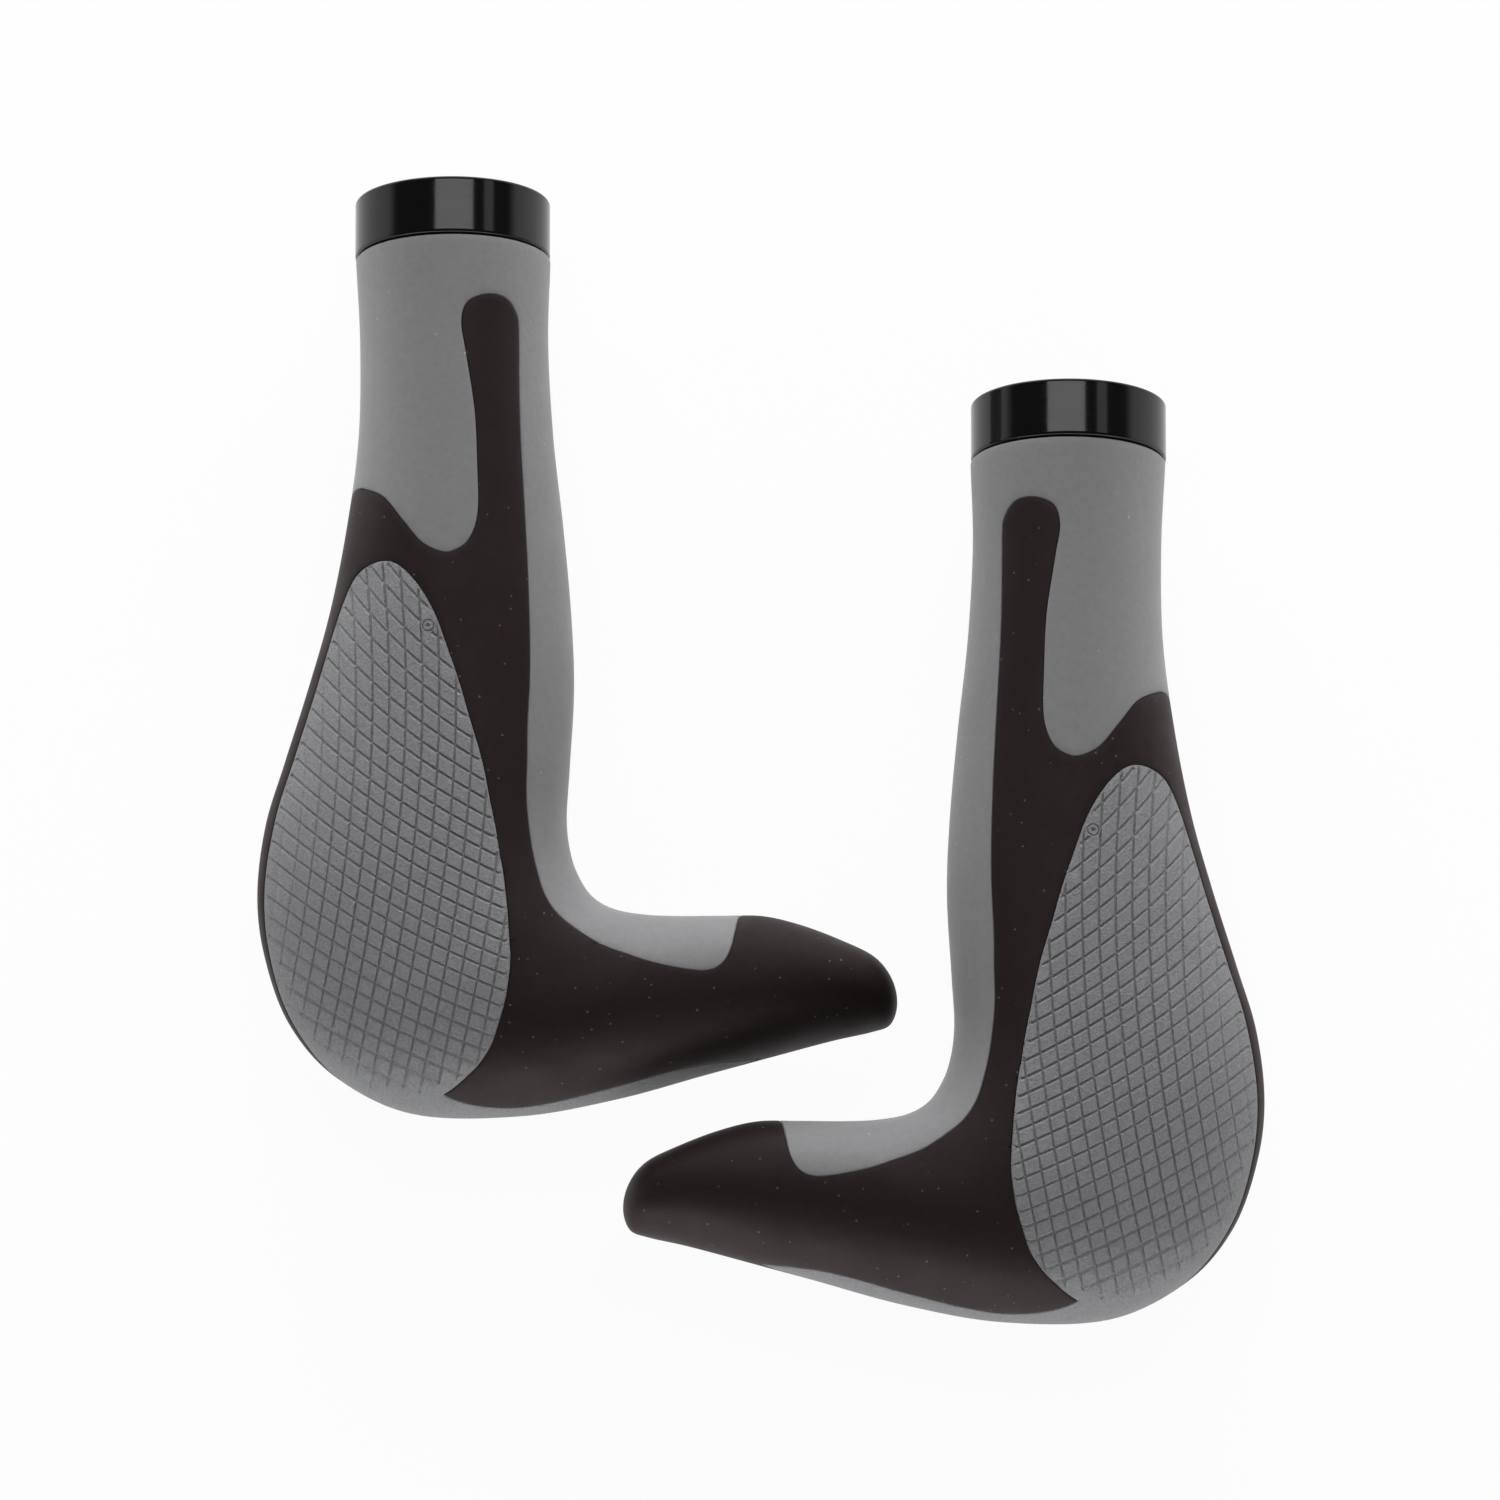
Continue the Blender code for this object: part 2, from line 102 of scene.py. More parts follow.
# Sections of the hand zone: station as a share of HAND_LENGTH, then the shares of FINGER_SWELL, WING_SWELL
# and PALM_SWELL added to the neck's radius, then how far the palm side and the back lean to the fingers.
HAND_SECTIONS = [
    (0.000, 0.16, 0.035, 0.70, 0.00, 0.00),
    (0.126, 0.09, -0.01, 0.00, 0.00, 0.00),
    (0.269, 0.27, 0.00, 0.00, 0.00, 0.00),
    (0.404, 0.61, 0.11, 0.30, 0.00, 0.05),
    (0.538, 0.89, 0.28, 0.60, 0.06, 0.15),
    (0.655, 1.00, 0.495, 0.75, 0.12, 0.25),
    (0.771, 0.86, 0.735, 0.90, 0.18, 0.35),
]

# Sections round the palm's corner and along the horn. Inner edge: share of HORN_RUN past the finger edge,
# and station past HAND_LENGTH as a share of HORN_ROOT_WIDTH. Outer edge: share of the wing's reach where it
# is below 0, or of the horn's reach where it is above, and its station as the inner edge's. Then the half
# thickness as a share of the collar's radius, and the two leans.
HORN_SECTIONS = [
    (-0.022, -0.487, -0.96, -0.442, 1.00, 0.20, 0.40),
    (-0.010, -0.310, -1.00, -0.103, 1.00, 0.20, 0.40),
    (0.017, -0.182, -0.96, 0.206, 1.00, 0.20, 0.40),
    (0.063, -0.073, -0.835, 0.530, 1.00, 0.20, 0.35),
    (0.132, -0.010, -0.60, 0.789, 1.00, 0.15, 0.30),
    (0.227, 0.015, -0.205, 0.973, 0.98, 0.10, 0.20),
    (0.342, 0.016, 0.150, 0.985, 0.94, 0.00, 0.10),
    (0.466, 0.013, 0.371, 0.900, 0.85, 0.00, 0.00),
    (0.590, 0.014, 0.571, 0.780, 0.76, 0.00, 0.00),
    (0.710, 0.061, 0.731, 0.684, 0.69, 0.00, 0.00),
    (0.830, 0.135, 0.855, 0.611, 0.60, 0.00, 0.00),
    (0.928, 0.212, 0.942, 0.570, 0.475, 0.00, 0.00),
    (0.981, 0.312, 0.985, 0.535, 0.29, 0.00, 0.00),
    (1.000, 0.430, 1.000, 0.435, 0.00, 0.00, 0.00),
]

# How much blunter the rim grows as a section leans, and the lean that counts as none
RIM_FULLNESS = 0.5
SMALLEST_LEAN = 1e-6

# The section where the rubber's inner face starts to close in on the middle of the horn
CAVITY_END = 18.0

# The sleeve's edge on the palm side, from the outer edge of the grip to the inner edge, in degrees. It goes
# round the black finger on the neck. The back has the same edge.
SLEEVE_EDGE = [
    (2.685, 180), (2.685, 173), (2.69, 163), (2.73, 152), (2.90, 132.5), (3.20, 118), (3.48, 105.8),
    (3.60, 95), (3.58, 88), (3.45, 81.5), (3.15, 77.4), (2.60, 77.4), (2.00, 78.2), (1.40, 82.5),
    (1.05, 85), (0.82, 80.8), (0.71, 68), (0.73, 56), (0.88, 48), (1.10, 45.8), (1.95, 48),
    (2.90, 49.4), (4.25, 48.8), (5.55, 46.4), (6.50, 43.4), (7.80, 41.4), (9.10, 43), (10.65, 48.8),
    (11.65, 54.2), (12.75, 64.6), (13.60, 74.4), (14.20, 80.8), (14.45, 82.8), (14.62, 81.5),
    (14.71, 76), (14.70, 65), (14.62, 52), (14.47, 27), (14.42, 0),
]

# The pad's edge on the palm, from the rim over its top and down to the point at its lower corner, then its
# rim band: along the band's upper edge to its end, and back underneath.
PAD_EDGE = [
    (8.40, 164), (7.20, 159.2), (6.00, 157.4), (5.00, 156.4), (4.38, 155.2), (4.00, 151.5), (3.74, 144),
    (3.64, 130), (3.70, 118), (3.95, 106), (4.33, 95.8), (4.86, 86.8), (5.50, 76.6), (6.20, 67),
    (6.94, 60.8), (7.85, 57.4), (9.00, 58.4), (10.10, 64.8), (11.13, 77.4), (11.80, 94.2), (12.20, 114),
    (12.33, 130), (12.30, 146), (12.24, 155),
]
BAND_UPPER_EDGE = [
    (12.24, 155), (12.43, 160.5), (12.70, 167), (13.00, 170.4), (13.40, 168.2), (13.90, 164.6),
    (14.45, 161.6), (14.90, 163.5), (15.30, 170), (15.75, 183),
]
BAND_LOWER_EDGE = [
    (15.75, 183), (15.20, 195), (14.50, 202), (13.20, 206), (12.30, 203), (11.60, 193), (11.00, 182),
    (10.50, 175.5), (9.80, 171), (9.10, 167.5), (8.40, 164),
]

# The part of the pad that has grooves: it runs past the pad's edge, except at the wing's lower corner,
# where the grooves die out and leave pits where they would have crossed
GROOVE_EDGE = [
    (3.40, 130), (3.50, 112), (4.20, 92), (5.40, 72), (6.80, 55), (7.85, 51), (9.00, 52), (10.30, 59),
    (11.40, 76), (12.00, 94), (12.50, 114), (12.60, 128), (12.36, 139), (12.05, 148), (11.83, 156),
    (11.50, 160), (11.00, 162.3), (10.50, 161.5), (10.00, 160.5), (9.30, 160), (8.50, 161), (7.50, 161),
    (6.00, 160), (5.00, 159.5), (4.00, 159), (3.60, 150), (3.40, 130),
]

# The grooves are two families of arcs about a centre each, (x, station). A family's arcs step out from the
# radius of one of its grooves, by the numbers that reach the pad. The long arcs start at a station, and the
# cross arcs lean with the height of the skin.
LONG_CENTRE = (-0.2392, 0.0792)
LONG_SPACING = 0.002719
LONG_RADIUS = 0.23202
LONG_NUMBERS = range(-9, 12)
LONG_START = 0.3 * HAND_LENGTH
CROSS_CENTRE = (0.0577, 0.0018)
CROSS_SPACING = 0.002557
CROSS_RADIUS = 0.10167
CROSS_NUMBERS = range(-13, 22)
CROSS_LEAN = 0.1933
CROSS_LEVEL = 0.012
GROOVE_DEPTH = 0.0003
GROOVE_FADE = 0.0008
PIT_REACH = 0.0028
GROOVE_EDGE_GAP = 0.00035

# Where the grooves get shallower: how many arcs out from a family's first, and the share of depth there
LONG_FADE = [(-7, 0.3), (-5, 0.6), (-2, 1.0)]
CROSS_FADE = [(6, 1.0), (16, 0.75)]

# Groove profiles: offsets out from an arc, and how deep it is there as a share of GROOVE_DEPTH. The outer
# wall of a cross groove is gentler than its inner wall.
LONG_PROFILE = [(-0.00024, 0), (-0.00008, 1.0), (0.00008, 1.0), (0.00024, 0)]
CROSS_PROFILE = [(-0.0002, 0), (-0.00004, 1.0), (0.0001, 0.9), (0.00048, 0)]

# The moulding gate's mark on the pad
GATE_PLACE = (4.50, 97.8)
GATE_RADIUS = 0.00095
GATE_RING_HALF_WIDTH = 0.0002
GATE_REACH = GATE_RADIUS + 2 * GATE_RING_HALF_WIDTH
GATE_RING_DEPTH = 0.00022
GATE_DIMPLE_RADIUS = 0.00042
GATE_DIMPLE_DEPTH = 0.0003

# How the edges between rubbers are rounded: the radius, and where the rows of points lie, as shares of it
LIP_RADIUS = 0.00026
LIP_ROWS = (0.1, 0.4, 1.0)

# How finely the skin is divided: steps of section numbers and degrees on its outer and its inner face, how
# near edges and grooves the points between come in such steps, and steps along edges and grooves in metres
ROW_STEP = 0.1
ANGLE_STEP = 3.0
POINT_GAP = 0.4495
COARSE_ROW_STEP = 0.4
COARSE_ANGLE_STEP = 10.0
COARSE_POINT_GAP = 1.5
EDGE_STEP = 0.0005
GROOVE_STEP = 0.0007
LOOP_STEP = 0.0003

# Counts of points: for each point of an outline, round the neck, on an edge's step and round the gate mark
CURVE_POINTS = 60
NECK_POINTS = 400
EDGE_POINTS = 8
GATE_SIDES = 24

# Tries of the two searches, the step and the distance from the tip for tangents, tolerances, and what the
# triangulation gives back: the triangles of the whole hull
HALVINGS = 40
HEIGHT_TRIES = 4
TANGENT_STEP = 1e-3
TIP_MARGIN = 0.05
NO_LENGTH = 1e-12
FLAT_TOLERANCE = 1e-6
MERGE_DISTANCE = 1e-7
SLIVER_SIZE = 1e-8
WHOLE_HULL = 0

# Fineness and small details of the core, the collar and the bolt
CORE_SIDES = 48
CORE_ROW_STEP = 0.5
ROUND_SIDES = 192
BOLT_SIDES = 64
COLLAR_ROUNDING = 0.0005
MOUTH_ROUNDING = 0.0003
HEAD_ROUNDING = 0.0003
HEAD_BEVEL = 0.4 * HEAD_ROUNDING
BOLT_END_RADIUS = BOLT_RADIUS - 2 * HEAD_ROUNDING
CORNER_POINTS = 6
FLAT_BESIDE_CORNER = 0.0001
KNURL_POINTS = 4
KNURL_DEPTH = 0.0001
HEX_SIDES = 6
THREAD_PITCH = 0.0005
THREAD_DEPTH = 0.00025
THREAD_STEPS = 120
SHARP_ANGLE = math.radians(25)

# Colours, each with an alpha of 1
GREY = (0.179, 0.179, 0.184, 1)
PAD_GREY = (0.196, 0.198, 0.204, 1)
BLACK = (0.0096, 0.0057, 0.0057, 1)
ANODISED = (0.004, 0.0036, 0.0034, 1)
NYLON = (0.03, 0.03, 0.03, 1)
ZINC = (0.55, 0.55, 0.56, 1)
SPECK_PALE = (0.11, 0.1, 0.1, 1)
SPECK_WHITE = (0.5, 0.5, 0.5, 1)
SPECK_WARM = (0.1, 0.045, 0.04, 1)
WARM_SHINE = (1.0, 0.82, 0.82, 1)
FLOOR_WHITE = (0.9, 0.9, 0.9, 1)
WALL_WHITE = (1, 1, 1, 1)

# Noises of the finishes, as features a metre and octaves of detail, the part of a noise's range in use, and
# the heights of the grains
MOTTLE = (900, 4)
PATCHES = (120, 2)
GRAIN = (5000, 3)
PAD_MOTTLE = (2200, 4)
PAD_GRAIN = (2600, 3)
NYLON_PATCHES = (120, 3)
TURNING = (4000, 2)
TURNING_STRETCH = (0.02, 1, 0.02)
NOISE_RANGE = (0.3, 0.7)
GRAIN_HEIGHT = 0.00002
PAD_GRAIN_HEIGHT = 0.00016
NYLON_GRAIN_HEIGHT = 0.00004

# Specks of dust: how many a metre, their size as a share of their spacing, and its share at full colour
SPECKS = (440, 0.1)
FEW_SPECKS = (260, 0.055)
SPECK_CORE = 0.4

# Rubbers: lowest and highest roughness, specular level, mottle, the share that it changes the colour by,
# grain and the grain's height
GREY_FINISH = ((0.5, 0.6), 0.4, MOTTLE, 0.05, GRAIN, GRAIN_HEIGHT)
PAD_FINISH = ((0.55, 0.65), 0.35, PAD_MOTTLE, 0.16, PAD_GRAIN, PAD_GRAIN_HEIGHT)
BLACK_FINISH = ((0.55, 0.65), 0.38, MOTTLE, 0.15, GRAIN, GRAIN_HEIGHT)

# Other shader values
GREY_SHEEN = {"Sheen Weight": 0.15, "Sheen Roughness": 0.5}
ANODISED_ROUGHNESS = (0.09, 0.15)
ANODISED_SPECULAR = 0.35
NYLON_ROUGHNESS = (0.5, 0.68)
ZINC_ROUGHNESS = (0.25, 0.42)

# A Mix node's sockets for two colours and for their mix
MIX_FIRST = 6
MIX_SECOND = 7
MIX_RESULT = 2

# The studio: floor, surroundings and lamps, each a name, a place, the point it is aimed at, a size, a power
# in watts and whether it shows in reflections. The inboard and the outboard lamp each have a fill beside
# them that doesn't show, so that only part of their light is gloss.
FLOOR_SIZE = 8.0
FLOOR_GAP = 0.0003
FLOOR_GLOW = 0.95
WALL_TOP = 0.1
CEILING_BOTTOM = 0.35
WALL_LIGHT = 1.0
CEILING_LIGHT = 0.05
LAMPS = [
    ("strip_lamp", (-0.01, 0.345, 0.96), (-0.01, 0, 0), (0.76, 0.2), 1.7, True),
    ("side_strip_lamp", (0.64, 0.35, 0.74), (0, 0.35, 0.03), (0.3, 0.2), 0.2, True),
    ("inboard_lamp", (0, 1.14, 0.37), (0, 0, 0), (1.6, 0.5), 4.5, True),
    ("inboard_fill_lamp", (0, 1.18, 0.4), (0, 0, 0), (1.6, 0.5), 21.5, False),
    ("outboard_lamp", (0, -1.4, 0.13), (0, 0, 0), (2.4, 0.24), 9.0, True),
    ("outboard_fill_lamp", (0, -1.45, 0.15), (0, 0, 0), (2.4, 0.24), 7.5, False),
    ("outboard_high_lamp", (0, -1.04, 0.94), (0, 0, 0), (1.4, 0.6), 2.0, False),
    ("left_lamp", (-1.37, 0, 0.27), (0, 0, 0), (1.2, 0.5), 4.3, False),
    ("right_lamp", (1.37, 0, 0.27), (0, 0, 0), (1.2, 0.5), 4.3, False),
]

# The camera: a square picture VIEW_WIDTH wide at the aim
LENS = 600
SENSOR_WIDTH = 36
CLIP_END = 20
VIEW_WIDTH = 0.2449
CAMERA_AIM = (-0.00168, 0.00161, 0.016)
CAMERA_ELEVATION = math.radians(74)


def section_table():
    """A row a section: inner x and station, outer x and station, half thickness, palm and back lean."""
    rows = []
    for along, finger, wing, palm, palm_lean, back_lean in HAND_SECTIONS:
        station = along * HAND_LENGTH
        inner = NECK_RADIUS + finger * FINGER_SWELL
        outer = -NECK_RADIUS - wing * WING_SWELL
        rows.append((inner, station, outer, station, NECK_RADIUS + palm * PALM_SWELL, palm_lean, back_lean))
    for run, inner_past, reach, outer_past, half, palm_lean, back_lean in HORN_SECTIONS:
        outer = reach * (WING_REACH if reach < 0 else HORN_REACH)
        inner_station = HAND_LENGTH + inner_past * HORN_ROOT_WIDTH
        outer_station = HAND_LENGTH + outer_past * HORN_ROOT_WIDTH
        inner = FINGER_EDGE + run * HORN_RUN
        rows.append((inner, inner_station, outer, outer_station, half * COLLAR_RADIUS, palm_lean, back_lean))
    return np.array(rows)


SECTIONS = section_table()
LAST_SECTION = len(SECTIONS) - 1
# The row past the tip turns back in x, which rounds the tip off.
PAST_TIP = np.where([1, 0, 1, 0, 0, 0, 0], SECTIONS[-2], 2 * SECTIONS[-1] - SECTIONS[-2])


def through(values, place, after_last=None):
    """The Catmull-Rom curve through rows of values, at places that count from 0 at the first row."""
    place = np.asarray(place, float)
    index = np.clip(place.astype(int), 0, len(values) - 2)
    share = (place - index)[..., None]
    before_first = 2 * values[0] - values[1]
    if after_last is None:
        after_last = 2 * values[-1] - values[-2]
    padded = np.concatenate([[before_first], values, [after_last]])
    before, start, end, after = (padded[index + step] for step in range(4))
    bend = 2 * before - 5 * start + 4 * end - after
    twist = 3 * start - before - 3 * end + after
    return start + 0.5 * share * ((end - before) + share * (bend + share * twist))


def crown(lean, angle):
    """Height of a section's outline at an angle, as a share of its half thickness: a circle where there is
    no lean, and with more of it an egg that is fuller towards the fingers and has a blunter rim."""
    lean = np.maximum(lean, SMALLEST_LEAN)
    power = 1 - lean * RIM_FULLNESS
    peak = (np.sqrt(power**2 + 4 * lean**2 * (power + 1)) - power) / (2 * lean * (power + 1))
    highest = (1 - peak**2) ** (power / 2) * (1 + lean * peak)
    rise = np.sign(np.sin(angle)) * np.abs(np.sin(angle)) ** power
    return rise * (1 + lean * np.cos(angle)) / highest


def unit(vectors):
    return vectors / np.maximum(np.linalg.norm(vectors, axis=-1, keepdims=True), NO_LENGTH)


def skin(place, angle, inset=0.0):
    """Points of the skin, drawn in by inset."""
    row = through(SECTIONS, place, PAST_TIP)
    inner, outer, half = row[..., 0:2], row[..., 2:4], row[..., 4]
    inward = unit(outer - inner) * inset
    inner, outer = inner + inward, outer - inward
    across = (1 + np.cos(angle))[..., None] / 2
    plan = outer + (inner - outer) * across
    lean = np.where(np.sin(angle) >= 0, row[..., 5], row[..., 6])
    height = (half - inset) * crown(lean, angle)
    return np.stack([plan[..., 0], -plan[..., 1], height], axis=-1)


def skin_tangents(place, angle):
    """How a point of the skin moves for a unit of place and for a radian."""
    step = TANGENT_STEP
    place = np.minimum(place, LAST_SECTION - TIP_MARGIN)
    by_place = (skin(place + step, angle) - skin(place - step, angle)) / (2 * step)
    by_angle = (skin(place, angle + step) - skin(place, angle - step)) / (2 * step)
    return by_place, by_angle


def skin_normal(place, angle):
    by_place, by_angle = skin_tangents(place, angle)
    return unit(np.cross(by_angle, by_place))


def cavity(place, angle):
    """Points of the rubber's inner face. Past CAVITY_END it closes in on the middle of the horn."""
    last = np.minimum(place, CAVITY_END)
    points = skin(last, angle, RUBBER_DEPTH)
    middle = (skin(last, np.zeros_like(angle)) + skin(last, np.full_like(angle, math.pi))) / 2
    left = 1 - np.maximum(place - CAVITY_END, 0) / (LAST_SECTION - CAVITY_END)
    return middle + (points - middle) * left[..., None]


def place_under(x, station):
    """The place on the palm side of the skin over points of the plan."""
    point = np.stack([x, station], axis=-1)
    low = np.zeros(x.shape)
    high = np.full(x.shape, float(LAST_SECTION - 1))
    for _ in range(HALVINGS):
        middle = (low + high) / 2
        row = through(SECTIONS, middle)
        run = row[..., 0:2] - row[..., 2:4]
        reach = point - row[..., 2:4]
        past = run[..., 0] * reach[..., 1] - run[..., 1] * reach[..., 0] > 0
        low = np.where(past, middle, low)
        high = np.where(past, high, middle)
    across = 2 * (reach * run).sum(-1) / (run * run).sum(-1) - 1
    return np.stack([middle, np.arccos(np.clip(across, -1, 1))], axis=-1)


def in_radians(points):
    return np.array(points, float) * (1, math.pi / 180)


def even_path(edge):
    """Places along the smooth curve through an edge's points, an even step apart on the skin."""
    points = in_radians(edge)
    dense = through(points, np.linspace(0, len(points) - 1, CURVE_POINTS * len(points)))
    return respaced(dense, EDGE_STEP)


def respaced(places, step):
    """The same path with its places about a step apart on the skin, ends included."""
    length = np.linalg.norm(np.diff(skin(*places.T), axis=0), axis=1)
    length = np.concatenate([[0], np.cumsum(length)])
    count = max(2, int(round(length[-1] / step)) + 1)
    wanted = np.linspace(0, length[-1], count)
    return np.stack([np.interp(wanted, length, part) for part in places.T], axis=-1)


def joined(*paths):
    """One closed loop of places from paths that each start where the one before ends."""
    return np.concatenate([path[:-1] for path in paths])


def mirrored(path, turn):
    """The path on the other side of the section, with its angles counted from turn."""
    return np.stack([path[:, 0], turn - path[:, 1]], axis=-1)


def straight(start, end):
    """Places a grid step apart from start to end."""
    steps = np.abs(to_domain(np.subtract(end, start))).max()
    return np.linspace(start, end, max(2, int(round(steps)) + 1))


def to_domain(places):
    """Places as flat coordinates in which a grid step is about 1."""
    return places / (ROW_STEP, math.radians(ANGLE_STEP))


def from_domain(flat):
    return flat * (ROW_STEP, math.radians(ANGLE_STEP))


def inside(points, loop):
    """Which points lie inside a closed loop, both in flat coordinates."""
    result = np.zeros(len(points), bool)
    following = np.roll(loop, -1, axis=0)
    for (x1, y1), (x2, y2) in zip(loop, following):
        if y1 == y2:
            continue
        crosses = (points[:, 1] >= min(y1, y2)) & (points[:, 1] < max(y1, y2))
        side = x1 + (points[:, 1] - y1) * (x2 - x1) / (y2 - y1)
        result ^= crosses & (points[:, 0] < side)
    return result


def distance_to(points, targets, limit):
    """Distance from each point to the nearest target, or limit where none is that near."""
    flat = ((0, 0), (0, 3 - points.shape[1]))
    tree = KDTree(len(targets))
    for number, target in enumerate(np.pad(targets, flat)):
        tree.insert(target, number)
    tree.balance()
    return np.array([min(tree.find(point)[2], limit) for point in np.pad(points, flat)])


def lip_paths(loop, seam, sign):
    """Rows of places beside a loop, on its inner side, where the rounded lip needs points."""
    edge = loop[~seam]
    run = (np.roll(loop, -1, axis=0) - np.roll(loop, 1, axis=0))[~seam]
    by_place, by_angle = skin_tangents(*edge.T)
    forward = unit(by_place * run[:, :1] + by_angle * run[:, 1:])
    inward = np.cross(skin_normal(*edge.T), forward) * sign
    move = step_on_skin(edge, inward)
    return [edge + move * LIP_RADIUS * share for share in LIP_ROWS]


def grid(row_step, angle_step, first_angle):
    """Places in rows all round the skin, from an angle in degrees."""
    rows = np.arange(row_step, LAST_SECTION, row_step)
    angles = np.arange(first_angle + angle_step, first_angle + 360 - angle_step / 2, angle_step)
    mesh = np.meshgrid(rows, np.radians(angles), indexing="ij")
    return np.stack(mesh, axis=-1).reshape(-1, 2)


def triangulated(loops, extra, lines=()):
    """Flat triangles inside the first loop and outside the others. Returns the places and the triangles,
    and the places start with the loops' own points in order."""
    edges = []
    start = 0
    for number, path in enumerate([*loops, *lines]):
        last = start + len(path) - 1
        edges += [(i, i + 1) for i in range(start, last)]
        if number < len(loops):
            edges.append((last, start))
        start = last + 1
    flat = to_domain(np.concatenate([*loops, *lines, extra]))
    points = [Vector(point) for point in flat]
    found = delaunay_2d_cdt(points, edges, [], WHOLE_HULL, FLAT_TOLERANCE, True)
    corners, _, faces, sources, _, _ = found
    corners = np.array([corner[:] for corner in corners])
    faces = np.array([face for face in faces if len(face) == 3])
    middles = corners[faces].mean(axis=1)
    keep = inside(middles, to_domain(loops[0]))
    for hole in loops[1:]:
        keep &= ~inside(middles, to_domain(hole))
    faces = faces[keep]
    # The loops' points come first, in their own order, and then whatever else the faces use.
    loop_count = sum(len(loop) for loop in loops)
    corner_of = {source: corner for corner, group in enumerate(sources) for source in group}
    order = [corner_of[i] for i in range(loop_count)]
    rest = sorted(set(faces.ravel()) - set(order))
    new_index = np.zeros(len(corners), int)
    new_index[order + rest] = np.arange(loop_count + len(rest))
    return from_domain(corners[order + rest]), new_index[faces]


def clear_of(points, obstacles, gap):
    """The places that are at least a gap of grid steps from every obstacle."""
    return points[distance_to(to_domain(points), to_domain(obstacles), gap) >= gap]


def shell(name, loops, seams, first_angle, lines=(), spots=np.empty((0, 2)), extra_depth=None):
    """A closed shell of rubber over the skin inside the first loop and outside the others: its outer face
    has rounded lips, and extra_depth gives the depth of its grooves. Seams mark the loops' points that only
    join the skin to itself."""
    edge = np.concatenate(loops)
    lips = []
    for number, loop in enumerate(loops):
        sign = -turning(loop) if number else turning(loop)
        lips += lip_paths(loop, seams[number], sign)
    lips = np.concatenate(lips)
    fixed = np.concatenate([edge, lips, spots, *lines])
    field = clear_of(grid(ROW_STEP, ANGLE_STEP, first_angle), fixed, POINT_GAP)
    places, faces = triangulated(loops, np.concatenate([lips, field, spots]), lines)
    points = skin(*places.T)
    away = distance_to(points, finer(loops, seams), LIP_RADIUS)
    depth = LIP_RADIUS - np.sqrt(LIP_RADIUS**2 - (LIP_RADIUS - away) ** 2)
    if extra_depth is not None:
        depth = np.maximum(depth, extra_depth(places, points))
    outer = points - skin_normal(*places.T) * depth[:, None]
    coarse = clear_of(grid(COARSE_ROW_STEP, COARSE_ANGLE_STEP, first_angle), edge, COARSE_POINT_GAP)
    inner_places, inner_faces = triangulated(loops, coarse)
    inner = cavity(*inner_places.T)

    offset = len(outer)
    walls = []
    start = 0
    for loop, seam in zip(loops, seams):
        count = len(loop)
        for i in range(count):
            j = (i + 1) % count
            if not (seam[i] and seam[j]):
                walls.append((start + i, start + j, offset + start + j, offset + start + i))
        start += count
    shape = bmesh.new()
    corners = [shape.verts.new(point) for point in np.concatenate([outer, inner])]
    for face in [*faces, *(inner_faces + offset), *walls]:
        shape.faces.new([corners[i] for i in face])
    bmesh.ops.remove_doubles(shape, verts=shape.verts, dist=MERGE_DISTANCE)
    bmesh.ops.dissolve_degenerate(shape, edges=shape.edges, dist=SLIVER_SIZE)
    return to_mesh(name, shape)


def turning(loop):
    """1 where a loop's inside lies on the left of its run as seen from outside the skin, otherwise -1."""
    flat = to_domain(loop)
    following = np.roll(flat, -1, axis=0)
    area = (flat[:, 0] * following[:, 1] - flat[:, 1] * following[:, 0]).sum()
    return -1 if area > 0 else 1


def finer(loops, seams):
    """Points of the skin close together along the loops' real edges."""
    found = []
    for loop, seam in zip(loops, seams):
        following = np.roll(loop, -1, axis=0)
        real = ~(seam & np.roll(seam, -1))
        for share in np.linspace(0, 1, EDGE_POINTS, endpoint=False):
            places = (loop + (following - loop) * share)[real]
            found.append(skin(*places.T))
    return np.concatenate(found)


def step_on_skin(places, vectors):
    """The small changes of place and angle that move along tangent vectors of the skin."""
    by_place, by_angle = skin_tangents(*places.T)
    place_square = (by_place * by_place).sum(1)
    angle_square = (by_angle * by_angle).sum(1)
    product = (by_place * by_angle).sum(1)
    along_place = (vectors * by_place).sum(1)
    along_angle = (vectors * by_angle).sum(1)
    spread = place_square * angle_square - product**2
    return np.stack([
        (along_place * angle_square - along_angle * product) / spread,
        (along_angle * place_square - along_place * product) / spread,
    ], axis=-1)


def long_groove(radius):
    station = np.arange(LONG_START, HAND_LENGTH + HORN_ROOT_WIDTH, GROOVE_STEP)
    x = LONG_CENTRE[0] + np.sqrt(radius**2 - (station - LONG_CENTRE[1]) ** 2)
    return place_under(x, station)


def cross_groove(radius):
    """Places along a cross groove, found by trying again at the height of the skin there."""
    turn = np.arange(math.pi / 2, math.pi, GROOVE_STEP / radius)
    height = np.full(turn.shape, CROSS_LEVEL)
    for _ in range(HEIGHT_TRIES):
        reach = radius + CROSS_LEAN * (height - CROSS_LEVEL)
        places = place_under(CROSS_CENTRE[0] + reach * np.cos(turn), CROSS_CENTRE[1] + reach * np.sin(turn))
        height = skin(*places.T)[:, 2]
    return places


def runs(places, keep):
    """The unbroken stretches of a path whose points are kept."""
    found = []
    edges = np.flatnonzero(np.diff(np.concatenate([[0], keep.astype(int), [0]])))
    for first, last in zip(edges[::2], edges[1::2]):
        if last - first > 1:
            found.append(places[first:last])
    return found


def gate_distance(points):
    centre = skin(*in_radians([GATE_PLACE]).T)
    return np.linalg.norm(points - centre, axis=1)


